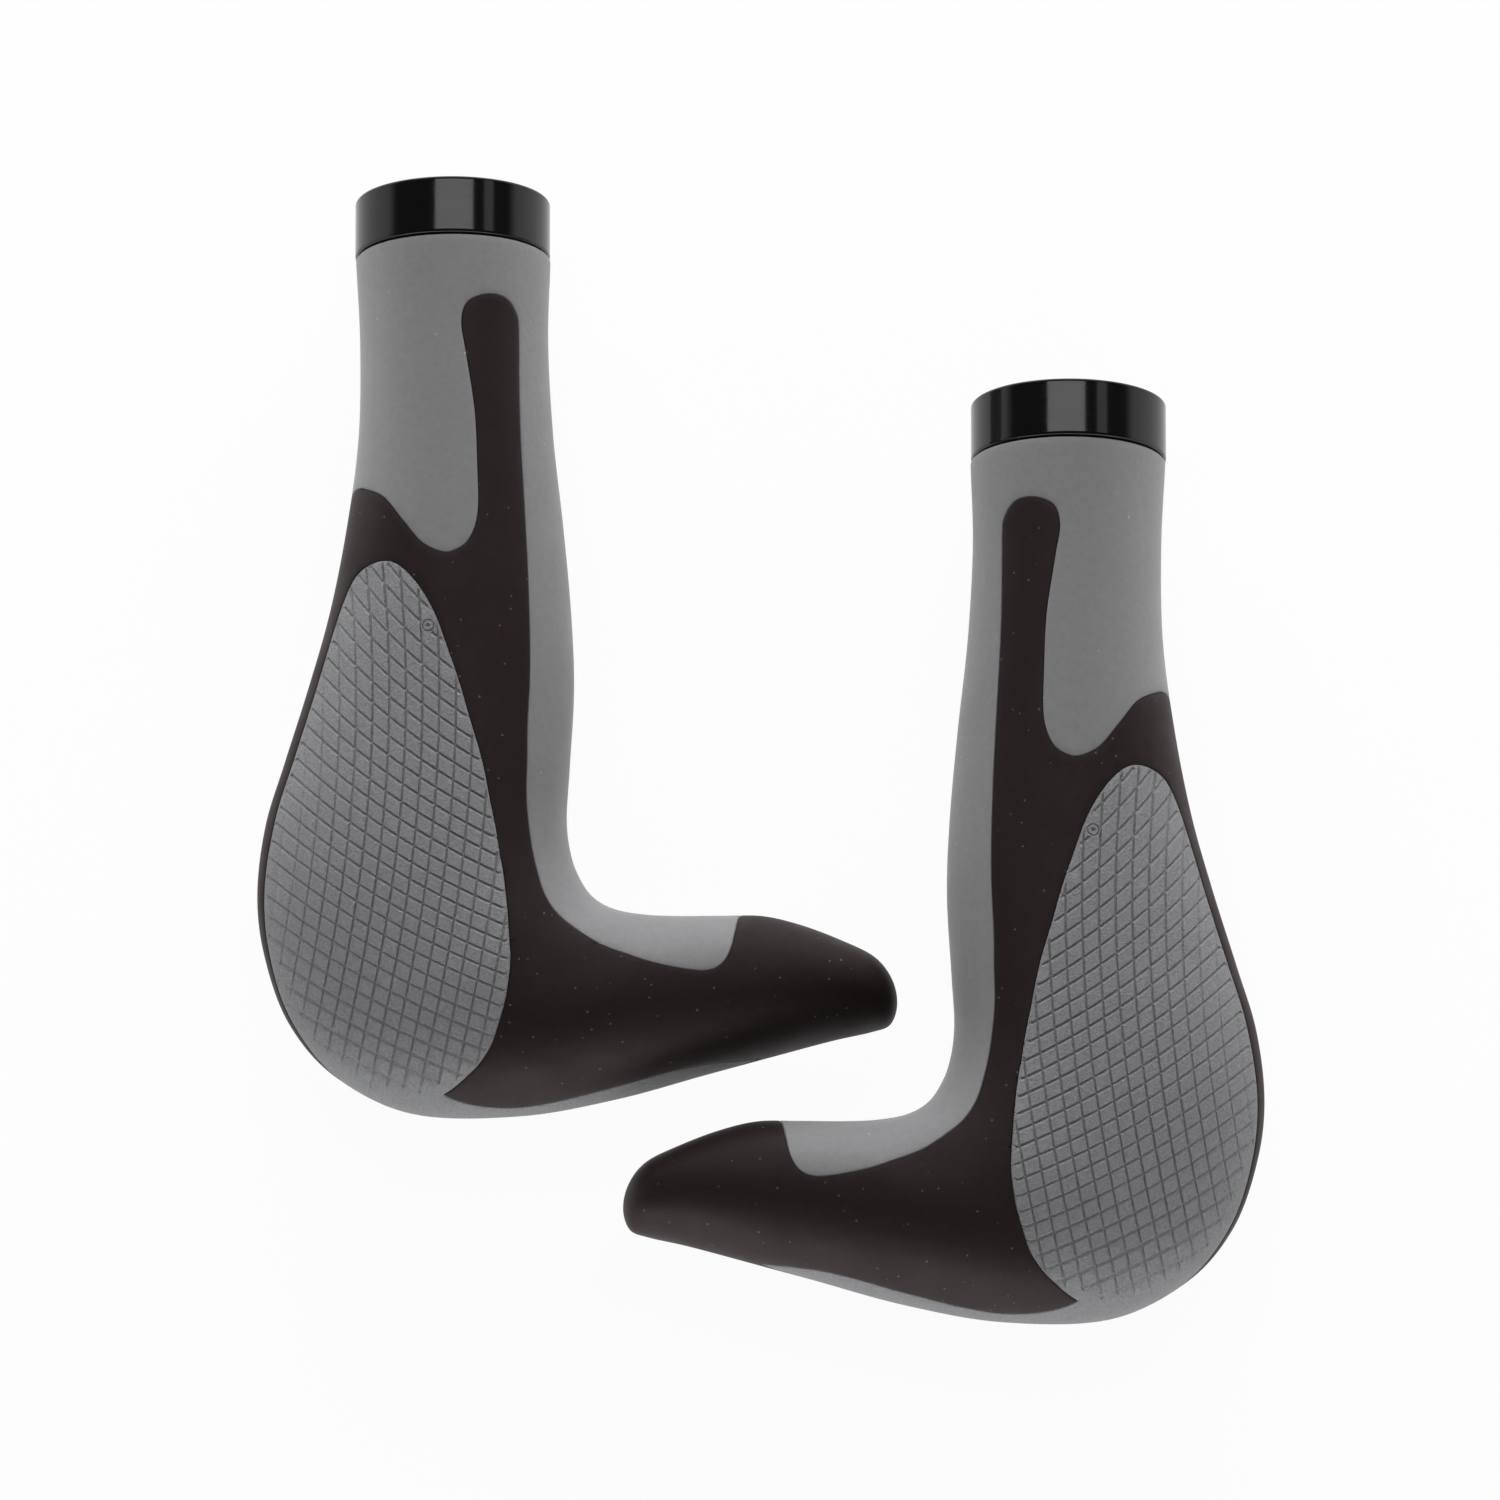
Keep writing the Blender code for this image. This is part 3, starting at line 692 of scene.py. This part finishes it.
def groove_lines():
    """Lines along the corners of every groove, as far as the grooves and their pits reach."""
    paths = []
    for make, first, spacing, numbers, profile in (
        (long_groove, LONG_RADIUS, LONG_SPACING, LONG_NUMBERS, LONG_PROFILE),
        (cross_groove, CROSS_RADIUS, CROSS_SPACING, CROSS_NUMBERS, CROSS_PROFILE),
    ):
        for number in numbers:
            paths += [make(first + number * spacing + offset) for offset, _ in profile]
    places = np.concatenate(paths)
    points = skin(*places.T)
    clear = gate_distance(points) > GATE_REACH
    clear &= within(pad_loop(), places, points, PIT_REACH) > GROOVE_EDGE_GAP
    clear &= within(even_path(GROOVE_EDGE), places, points, PIT_REACH) > -PIT_REACH
    ends = np.cumsum([len(path) for path in paths])[:-1]
    return [run for path, keep in zip(paths, np.split(clear, ends)) for run in runs(path, keep)]


def within(loop, places, points, limit):
    """How far inside a loop places of the skin are, up to a limit. It is below 0 outside."""
    edge = np.concatenate([respaced(loop, LOOP_STEP), loop[:1]])
    away = distance_to(points, skin(*edge.T), limit)
    return np.where(inside(to_domain(places), to_domain(loop)), away, -away)


def groove_share(radius, first, spacing, profile, fade, from_edge):
    """How deep the nearest groove of a family is at a radius, as a share of GROOVE_DEPTH. The fade stops at
    the edge of the grooves, where the pits have their full depth."""
    number = (radius - first) / spacing
    offset = (number - np.round(number)) * spacing
    kept = np.interp(number, *zip(*fade))
    return np.interp(offset, *zip(*profile)) * (1 - from_edge * (1 - kept))


def pad_depth(places, points):
    """How deep the pad's grooves and its gate mark are at points of the skin."""
    x, station, height = points[:, 0], -points[:, 1], points[:, 2]
    long_radius = np.hypot(x - LONG_CENTRE[0], station - LONG_CENTRE[1])
    cross_radius = np.hypot(x - CROSS_CENTRE[0], station - CROSS_CENTRE[1])
    cross_radius = cross_radius - CROSS_LEAN * (height - CROSS_LEVEL)
    reach = within(even_path(GROOVE_EDGE), places, points, PIT_REACH)
    from_edge = np.clip(reach / GROOVE_FADE, 0, 1)
    share = groove_share(long_radius, LONG_RADIUS, LONG_SPACING, LONG_PROFILE, LONG_FADE, from_edge)
    share += groove_share(cross_radius, CROSS_RADIUS, CROSS_SPACING, CROSS_PROFILE, CROSS_FADE, from_edge)
    shallower = 1 - from_edge + np.maximum(-reach, 0) / PIT_REACH
    depth = GROOVE_DEPTH * np.clip(share - shallower, 0, 1)
    at_edge = within(pad_loop(), places, points, 2 * GROOVE_EDGE_GAP) / GROOVE_EDGE_GAP - 1
    depth *= np.clip(at_edge, 0, 1)
    from_gate = gate_distance(points)
    from_ring = np.abs(from_gate - GATE_RADIUS)
    ring = GATE_RING_DEPTH * np.maximum(0, 1 - from_ring / GATE_RING_HALF_WIDTH)
    dimple = GATE_DIMPLE_DEPTH * np.maximum(0, 1 - (from_gate / GATE_DIMPLE_RADIUS) ** 2)
    return np.where(from_gate < GATE_REACH, np.maximum(ring, dimple), depth)


def gate_spots():
    """Places in rings round the gate mark, close enough to shape it."""
    centre = in_radians([GATE_PLACE])
    by_place, by_angle = skin_tangents(*centre.T)
    across = unit(by_place)
    round_it = unit(by_angle - across * (by_angle * across).sum())
    turn = full_turn(GATE_SIDES)[:, None]
    found = [centre]
    for radius in (
        GATE_DIMPLE_RADIUS / 2,
        GATE_DIMPLE_RADIUS,
        GATE_RADIUS - GATE_RING_HALF_WIDTH,
        GATE_RADIUS,
        GATE_RADIUS + GATE_RING_HALF_WIDTH,
    ):
        vectors = radius * (np.cos(turn) * across + np.sin(turn) * round_it)
        found.append(centre + step_on_skin(np.repeat(centre, GATE_SIDES, axis=0), vectors))
    return np.concatenate(found)


def with_flags(*parts):
    """A closed loop of places from (path, is a seam) parts, and which of its points lie on a seam."""
    loop = joined(*(path for path, _ in parts))
    flags = np.concatenate([np.full(len(path) - 1, seam) for path, seam in parts])
    start = 0
    for path, seam in parts:
        start += len(path) - 1
        if seam:
            flags[start % len(loop)] = True
    return loop, flags


def sleeve_mesh():
    """The grey sleeve: the neck, the strip on the finger side and the inlay in the elbow."""
    palm = even_path(SLEEVE_EDGE)
    back = mirrored(palm, 0.0)
    first = palm[0, 0]
    neck = np.linspace((0, math.pi), (0, -math.pi), NECK_POINTS)
    loop, seam = with_flags(
        (respaced(neck, EDGE_STEP), False),
        (straight((0, -math.pi), (first, -math.pi)), True),
        (back, False),
        (palm[::-1], False),
        (straight((first, math.pi), (0, math.pi)), True),
    )
    return shell("sleeve", [loop], [seam], -180)


def overmould_mesh():
    """The black rubber: the finger on the neck, the back of the wing and the whole horn."""
    palm = even_path(SLEEVE_EDGE)
    back = mirrored(palm, 2 * math.pi)
    last = palm[-1, 0]
    tip = float(LAST_SECTION)
    loop, seam = with_flags(
        (palm, False),
        (straight((last, 0), (tip, 0)), True),
        (straight((tip, 0), (tip, 2 * math.pi)), True),
        (straight((tip, 2 * math.pi), (last, 2 * math.pi)), True),
        (back[::-1], False),
    )
    hole = pad_loop()
    return shell("overmould", [loop, hole], [seam, np.zeros(len(hole), bool)], 0)


def pad_loop():
    return joined(*(even_path(edge) for edge in (PAD_EDGE, BAND_UPPER_EDGE, BAND_LOWER_EDGE)))


def pad_mesh():
    """The palm pad with its grooves, and the band that it sends round the outboard rim."""
    loop = pad_loop()
    seam = np.zeros(len(loop), bool)
    return shell("pad", [loop], [seam], 0, groove_lines(), gate_spots(), pad_depth)


def to_mesh(name, shape):
    """Turns a bmesh with closed surfaces into a mesh whose faces point out."""
    bmesh.ops.recalc_face_normals(shape, faces=shape.faces)
    mesh = bpy.data.meshes.new(name)
    shape.to_mesh(mesh)
    shape.free()
    return mesh


def grid_solid(name, rows, closed):
    """A closed solid through rows of points that all have as many points, each row a closed ring. Where the
    rows aren't closed on each other, the first and last are filled."""
    shape = bmesh.new()
    rings = [[shape.verts.new(point) for point in row] for row in rows]
    following = rings[1:] + rings[:1] if closed else rings[1:]
    for ring, other in zip(rings, following):
        for i in range(len(ring)):
            j = (i + 1) % len(ring)
            shape.faces.new((ring[i], ring[j], other[j], other[i]))
    if not closed:
        shape.faces.new(rings[0])
        shape.faces.new(rings[-1])
    return to_mesh(name, shape)


def full_turn(sides):
    return np.linspace(0, 2 * math.pi, sides, endpoint=False)


def circle(radius, height, sides):
    """Points round Z, at one radius or at one for each side."""
    turn = full_turn(sides)
    radii = np.broadcast_to(radius, turn.shape)
    return [(r * math.cos(angle), r * math.sin(angle), height) for r, angle in zip(radii, turn)]


def rounded_corner(centre, radius, first):
    """Points of a quarter circle of a profile, from an angle in degrees anticlockwise, with a short flat
    before it and after it that keeps the faces beside it flat."""
    angles = np.radians(np.linspace(first, first + 90, CORNER_POINTS))
    directions = [np.array((math.cos(angle), math.sin(angle))) for angle in angles]
    points = [centre + radius * direction for direction in directions]
    before = points[0] - directions[-1] * FLAT_BESIDE_CORNER
    after = points[-1] - directions[0] * FLAT_BESIDE_CORNER
    return [before, *points, after]


def cylinder(name, radius, start, end, sides):
    run = end - start
    turn = run.to_track_quat("Z", "Y").to_matrix().to_4x4()
    shape = bmesh.new()
    bmesh.ops.create_cone(
        shape, cap_ends=True, segments=sides, radius1=radius, radius2=radius, depth=run.length,
        matrix=Matrix.Translation((start + end) / 2) @ turn,
    )
    return to_mesh(name, shape)


def block(name, place, low, high):
    shape = bmesh.new()
    size = Matrix.Diagonal((*(high - low), 1))
    bmesh.ops.create_cube(shape, size=1, matrix=place @ Matrix.Translation((low + high) / 2) @ size)
    return to_mesh(name, shape)


def carved(mesh, *steps):
    """The mesh after Boolean steps, each an operation and the mesh that it works with."""
    helpers = [bpy.data.objects.new(mesh.name, mesh)]
    bpy.context.collection.objects.link(helpers[0])
    for operation, tool in steps:
        helper = bpy.data.objects.new(tool.name, tool)
        bpy.context.collection.objects.link(helper)
        helpers.append(helper)
        cut = helpers[0].modifiers.new(tool.name, "BOOLEAN")
        cut.operation = operation
        cut.object = helper
        cut.solver = "EXACT"
    graph = bpy.context.evaluated_depsgraph_get()
    result = bpy.data.meshes.new_from_object(helpers[0].evaluated_get(graph))
    for helper in helpers:
        bpy.data.objects.remove(helper)
    return result


def tab_frames():
    """Frames of the three tabs, in the collar's plane: X runs outwards, Y along the bar and Z round it."""
    return [Matrix.Rotation(-(SLIT_ANGLE + math.pi / 2 * turn), 4, "Y") for turn in (1, 2, 3)]


def core_mesh():
    """The nylon core under the rubber, with the bar's bore and the tabs that key into the collar."""
    rows = [
        skin(np.full(CORE_SIDES, place), full_turn(CORE_SIDES), CORE_INSET)
        for place in np.arange(0, CAVITY_END + CORE_ROW_STEP / 2, CORE_ROW_STEP)
    ]
    steps = []
    for place in tab_frames():
        low = Vector((BORE_RADIUS / 2, -TAB_ROOT, -TAB_WIDTH / 2))
        high = Vector((TAB_TOP, SEAM + TAB_LENGTH, TAB_WIDTH / 2))
        steps.append(("UNION", block("tab", place, low, high)))
    bore = cylinder("bore", BORE_RADIUS, Vector((0, FAR, 0)), Vector((0, -BORE_DEPTH, 0)), ROUND_SIDES)
    return carved(grid_solid("core", rows, False), *steps, ("DIFFERENCE", bore))


def collar_mesh():
    """The split ring, from its outboard face at y = SEAM, with rounded rims, the notches for the tabs, the
    slit and the bolt's hole."""
    rim = COLLAR_RADIUS - COLLAR_ROUNDING
    mouth = BORE_RADIUS + MOUTH_ROUNDING
    profile = [
        *rounded_corner((rim, COLLAR_ROUNDING), COLLAR_ROUNDING, -90),
        *rounded_corner((rim, COLLAR_WIDTH - COLLAR_ROUNDING), COLLAR_ROUNDING, 0),
        *rounded_corner((mouth, COLLAR_WIDTH - MOUTH_ROUNDING), MOUTH_ROUNDING, 90),
        *rounded_corner((mouth, MOUTH_ROUNDING), MOUTH_ROUNDING, 180),
    ]
    ring = grid_solid("collar", [circle(*point, ROUND_SIDES) for point in profile], True)
    ring.transform(Matrix.Rotation(-math.pi / 2, 4, "X"))
    steps = []
    for tab in tab_frames():
        low = Vector((BORE_RADIUS / 2, -FAR, -TAB_WIDTH / 2 - SEAM))
        high = Vector((TAB_TOP + SEAM, TAB_LENGTH + SEAM, TAB_WIDTH / 2 + SEAM))
        steps.append(("DIFFERENCE", block("notch", tab, low, high)))
    low = Vector((BORE_RADIUS / 2, -FAR, -SLIT_WIDTH / 2))
    high = Vector((FAR, FAR, SLIT_WIDTH / 2))
    steps.append(("DIFFERENCE", block("slit", SLIT_FRAME, low, high)))
    for name, radius, low, high in (
        ("bolt_hole", BOLT_RADIUS + SEAM, -FAR, FAR),
        ("head_pocket", HEAD_RADIUS + SEAM, BOLT_SEAT, FAR),
    ):
        start, end = (SLIT_FRAME @ Vector((*BOLT_MIDDLE, height)) for height in (low, high))
        steps.append(("DIFFERENCE", cylinder(name, radius, start, end, BOLT_SIDES)))
    mesh = carved(ring, *steps)
    mesh.transform(Matrix.Translation((0, SEAM, 0)))
    return mesh


def bolt_mesh():
    """The cap screw: a knurled head with a hex socket, and a threaded shank."""
    knurl = np.where(np.arange(BOLT_SIDES) % KNURL_POINTS < KNURL_POINTS / 2, 0.0, KNURL_DEPTH)
    rows = []
    for height, radius, share in (
        (HEAD_HEIGHT, HEAD_RADIUS - HEAD_ROUNDING, 0),
        (HEAD_HEIGHT - HEAD_BEVEL, HEAD_RADIUS - HEAD_BEVEL, 0),
        (HEAD_HEIGHT - HEAD_ROUNDING, HEAD_RADIUS, 0),
        (HEAD_HEIGHT - HEAD_ROUNDING, HEAD_RADIUS, 1),
        (HEAD_ROUNDING, HEAD_RADIUS, 1),
        (HEAD_ROUNDING, HEAD_RADIUS, 0),
        (0, HEAD_RADIUS - HEAD_ROUNDING / 2, 0),
        (0, BOLT_RADIUS, 0),
    ):
        rows.append(circle(radius - share * knurl, height, BOLT_SIDES))
    for step in range(1, THREAD_STEPS):
        height = -BOLT_LENGTH * step / THREAD_STEPS
        phase = (height / THREAD_PITCH - full_turn(BOLT_SIDES) / (2 * math.pi)) % 1
        depth = THREAD_DEPTH * (1 - np.abs(2 * phase - 1))
        end = min(1, (BOLT_LENGTH + height) / THREAD_PITCH)
        rows.append(circle(BOLT_RADIUS - depth - (1 - end) * HEAD_ROUNDING, height, BOLT_SIDES))
    rows.append(circle(BOLT_END_RADIUS, -BOLT_LENGTH, BOLT_SIDES))
    corner = SOCKET_WIDTH / math.sqrt(3)
    start = Vector((0, 0, HEAD_HEIGHT - SOCKET_DEPTH))
    socket = cylinder("socket", corner, start, Vector((0, 0, 2 * HEAD_HEIGHT)), HEX_SIDES)
    mesh = carved(grid_solid("bolt", rows, False), ("DIFFERENCE", socket))
    mesh.transform(SLIT_FRAME @ Matrix.Translation((*BOLT_MIDDLE, BOLT_SEAT + SEAM)))
    mesh.transform(Matrix.Translation((0, SEAM, 0)))
    return mesh


def feed(tree, node, inputs):
    """Gives a node's inputs their values: a number or colour is set, another node's output is linked."""
    for name, value in inputs.items():
        if isinstance(value, bpy.types.NodeSocket):
            tree.links.new(value, node.inputs[name])
        else:
            node.inputs[name].default_value = value


def new_node(tree, kind, inputs):
    made = tree.nodes.new(kind)
    feed(tree, made, inputs)
    return made


def surface(name, colour, metallic=0.0, specular=0.5):
    """A material whose Principled shader has these values, with its tree and its shader."""
    made = bpy.data.materials.new(name)
    made.use_nodes = True
    tree = made.node_tree
    shader = tree.nodes["Principled BSDF"]
    feed(tree, shader, {"Base Color": colour, "Metallic": metallic, "Specular IOR Level": specular})
    return made, tree, shader


def own_place(tree):
    return tree.nodes.new("ShaderNodeTexCoord").outputs["Object"]


def noise(tree, place, scale, detail):
    inputs = {"Vector": place, "Scale": scale, "Detail": detail}
    return new_node(tree, "ShaderNodeTexNoise", inputs).outputs["Fac"]


def map_range(tree, value, low, high, new_low, new_high, kind="LINEAR"):
    """A value brought from one range to another, and kept inside it."""
    inputs = {"Value": value, "From Min": low, "From Max": high, "To Min": new_low, "To Max": new_high}
    made = new_node(tree, "ShaderNodeMapRange", inputs)
    made.interpolation_type = kind
    return made.outputs["Result"]


def mixed_colour(tree, factor, first, second):
    made = tree.nodes.new("ShaderNodeMix")
    made.data_type = "RGBA"
    feed(tree, made, {"Factor": factor, MIX_FIRST: first, MIX_SECOND: second})
    return made.outputs[MIX_RESULT]


def scaled(colour, share):
    return (*(part * share for part in colour[:3]), 1)


def vary_roughness(tree, shader, factor, low, high):
    """Lets a noise move the roughness between two values, with the middle one left on the socket."""
    feed(tree, shader, {"Roughness": (low + high) / 2})
    feed(tree, shader, {"Roughness": map_range(tree, factor, *NOISE_RANGE, low, high)})


def add_grain(tree, shader, grain, height):
    """A fine moulded grain, as bump."""
    relief = noise(tree, own_place(tree), *grain)
    bump = new_node(tree, "ShaderNodeBump", {"Strength": 1.0, "Distance": height, "Height": relief})
    feed(tree, shader, {"Normal": bump.outputs["Normal"]})


def satin_rubber(name, colour, finish):
    """Moulded rubber, with a mottled colour, patches of more and less gloss, and a grain."""
    roughness, specular, mottle, share, grain, height = finish
    made, tree, shader = surface(name, colour, specular=specular)
    factor = map_range(tree, noise(tree, own_place(tree), *mottle), *NOISE_RANGE, 0, 1)
    mottled = mixed_colour(tree, factor, scaled(colour, 1 - share), scaled(colour, 1 + share))
    feed(tree, shader, {"Base Color": mottled})
    vary_roughness(tree, shader, noise(tree, own_place(tree), *PATCHES), *roughness)
    add_grain(tree, shader, grain, height)
    return made, tree, shader


def add_specks(tree, shader, scale, size, first, second):
    """Specks of dust in two colours over a shader's colour."""
    cells = new_node(tree, "ShaderNodeTexVoronoi", {"Vector": own_place(tree), "Scale": scale})
    spot = map_range(tree, cells.outputs["Distance"], size, SPECK_CORE * size, 0, 1)
    speck = mixed_colour(tree, cells.outputs["Color"], first, second)
    base = shader.inputs["Base Color"].links[0].from_socket
    feed(tree, shader, {"Base Color": mixed_colour(tree, spot, base, speck)})


def grey_rubber():
    made, tree, shader = satin_rubber("grey_rubber_satin", GREY, GREY_FINISH)
    feed(tree, shader, GREY_SHEEN)
    add_specks(tree, shader, *FEW_SPECKS, SPECK_PALE, SPECK_WHITE)
    return made


def pad_rubber():
    return satin_rubber("pad_rubber_satin", PAD_GREY, PAD_FINISH)[0]


def black_rubber():
    made, tree, shader = satin_rubber("black_rubber_satin", BLACK, BLACK_FINISH)
    feed(tree, shader, {"Specular Tint": WARM_SHINE})
    add_specks(tree, shader, *SPECKS, SPECK_WARM, SPECK_PALE)
    return made


def black_anodised():
    """Gloss black anodised aluminium, with faint turning lines round the ring."""
    made, tree, shader = surface("black_anodised_gloss", ANODISED, specular=ANODISED_SPECULAR)
    stretch = new_node(tree, "ShaderNodeMapping", {"Vector": own_place(tree), "Scale": TURNING_STRETCH})
    lines = noise(tree, stretch.outputs["Vector"], *TURNING)
    vary_roughness(tree, shader, lines, *ANODISED_ROUGHNESS)
    return made


def core_nylon():
    made, tree, shader = surface("core_nylon_matt", NYLON)
    vary_roughness(tree, shader, noise(tree, own_place(tree), *NYLON_PATCHES), *NYLON_ROUGHNESS)
    add_grain(tree, shader, GRAIN, NYLON_GRAIN_HEIGHT)
    return made


def bolt_steel():
    made, tree, shader = surface("bolt_steel_zinc", ZINC, metallic=1.0)
    vary_roughness(tree, shader, noise(tree, own_place(tree), *MOTTLE), *ZINC_ROUGHNESS)
    return made


def finished(mesh):
    """Smooth shading, with the corners left sharp."""
    mesh.shade_smooth()
    mesh.set_sharp_from_angle(angle=SHARP_ANGLE)
    return mesh


def dress(side, mirror, shapes):
    """Puts one grip's pieces in place over its solids."""
    low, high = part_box(f"{side}_clamp_collar")
    middle = (low + high) / 2
    place = Matrix.Translation((middle.x, low.y - SEAM, middle.z))
    for shape, (mesh, body, node, slot, material) in shapes.items():
        copy = finished(mesh.copy())
        if mirror:
            copy.transform(Matrix.Diagonal((-1, 1, 1, 1)))
            copy.flip_normals()
        copy.transform(place)
        copy.materials.clear()
        copy.materials.append(material)
        piece = bpy.data.objects.new(f"{side}_{shape}", copy)
        bpy.context.collection.objects.link(piece)
        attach(piece, f"{side}_{body}")
        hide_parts(f"{side}_{node}")


def grip_shapes():
    """The pieces of a grip: mesh, body, the solid it stands for, the slot of its finish and its material."""
    return {
        "core_moulding": (core_mesh(), "grip", "core", "core_nylon", core_nylon()),
        "sleeve_rubber": (sleeve_mesh(), "grip", "grey_sleeve", "grey_rubber", grey_rubber()),
        "overmould_rubber": (overmould_mesh(), "grip", "black_overmould", "black_rubber", black_rubber()),
        "pad_rubber": (pad_mesh(), "grip", "palm_pad", "pad_rubber", pad_rubber()),
        "collar_ring": (collar_mesh(), "collar", "clamp_collar", "black_anodised", black_anodised()),
        "bolt_screw": (bolt_mesh(), "bolt", "clamp_bolt", "bolt_steel", bolt_steel()),
    }


def calculated(tree, operation, first, second):
    made = new_node(tree, "ShaderNodeMath", {0: first, 1: second})
    made.operation = operation
    return made.outputs[0]


def add_floor():
    """A white floor that shows as the backdrop's white and keeps the grips' soft shadow."""
    reach = FLOOR_SIZE / 2
    corners = [(-reach, -reach, 0), (reach, -reach, 0), (reach, reach, 0), (-reach, reach, 0)]
    mesh = bpy.data.meshes.new("floor")
    mesh.from_pydata(corners, [], [(0, 1, 2, 3)])
    floor = bpy.data.objects.new("floor", mesh)
    floor.location.z = -FLOOR_GAP
    bpy.context.collection.objects.link(floor)
    made, tree, shader = surface("floor_white", FLOOR_WHITE, specular=0.0)
    rays = tree.nodes.new("ShaderNodeLightPath").outputs
    seen = rays["Is Camera Ray"]
    for kind in ("Is Glossy Ray", "Is Transmission Ray"):
        seen = calculated(tree, "MAXIMUM", seen, rays[kind])
    share = calculated(tree, "MULTIPLY", seen, FLOOR_GLOW)
    glow = new_node(tree, "ShaderNodeEmission", {"Strength": 1.0})
    mix = new_node(tree, "ShaderNodeMixShader", {0: share, 1: shader.outputs[0], 2: glow.outputs[0]})
    feed(tree, tree.nodes["Material Output"], {"Surface": mix.outputs[0]})
    mesh.materials.append(made)


def add_world():
    """Studio surroundings: white near the horizon and dark overhead."""
    world = bpy.data.worlds.new("studio")
    bpy.context.scene.world = world
    world.use_nodes = True
    tree = world.node_tree
    place = tree.nodes.new("ShaderNodeTexCoord").outputs["Generated"]
    height = new_node(tree, "ShaderNodeSeparateXYZ", {0: place}).outputs["Z"]
    light = map_range(tree, height, WALL_TOP, CEILING_BOTTOM, WALL_LIGHT, CEILING_LIGHT, "SMOOTHSTEP")
    feed(tree, tree.nodes["Background"], {"Color": WALL_WHITE, "Strength": light})


def add_lamp(name, place, aim, size, power, reflected):
    data = bpy.data.lights.new(name, "AREA")
    data.shape = "RECTANGLE"
    data.size, data.size_y = size
    data.energy = power
    lamp = bpy.data.objects.new(name, data)
    lamp.location = place
    lamp.rotation_euler = (Vector(aim) - Vector(place)).to_track_quat("-Z", "Y").to_euler()
    lamp.visible_glossy = reflected
    bpy.context.collection.objects.link(lamp)


def add_camera():
    """A long lens above the pair and a little towards the horns."""
    data = bpy.data.cameras.new("camera")
    data.lens = LENS
    data.sensor_width = SENSOR_WIDTH
    data.clip_end = CLIP_END
    camera = bpy.data.objects.new("camera", data)
    back = Vector((0, -math.cos(CAMERA_ELEVATION), math.sin(CAMERA_ELEVATION)))
    camera.location = Vector(CAMERA_AIM) + back * (VIEW_WIDTH * LENS / SENSOR_WIDTH)
    camera.rotation_euler = (-back).to_track_quat("-Z", "Y").to_euler()
    bpy.context.collection.objects.link(camera)
    bpy.context.scene.camera = camera


shapes = grip_shapes()
dress("left", False, shapes)
dress("right", True, shapes)
add_floor()
add_world()
for lamp in LAMPS:
    add_lamp(*lamp)
add_camera()
bpy.context.scene.view_settings.view_transform = "Standard"
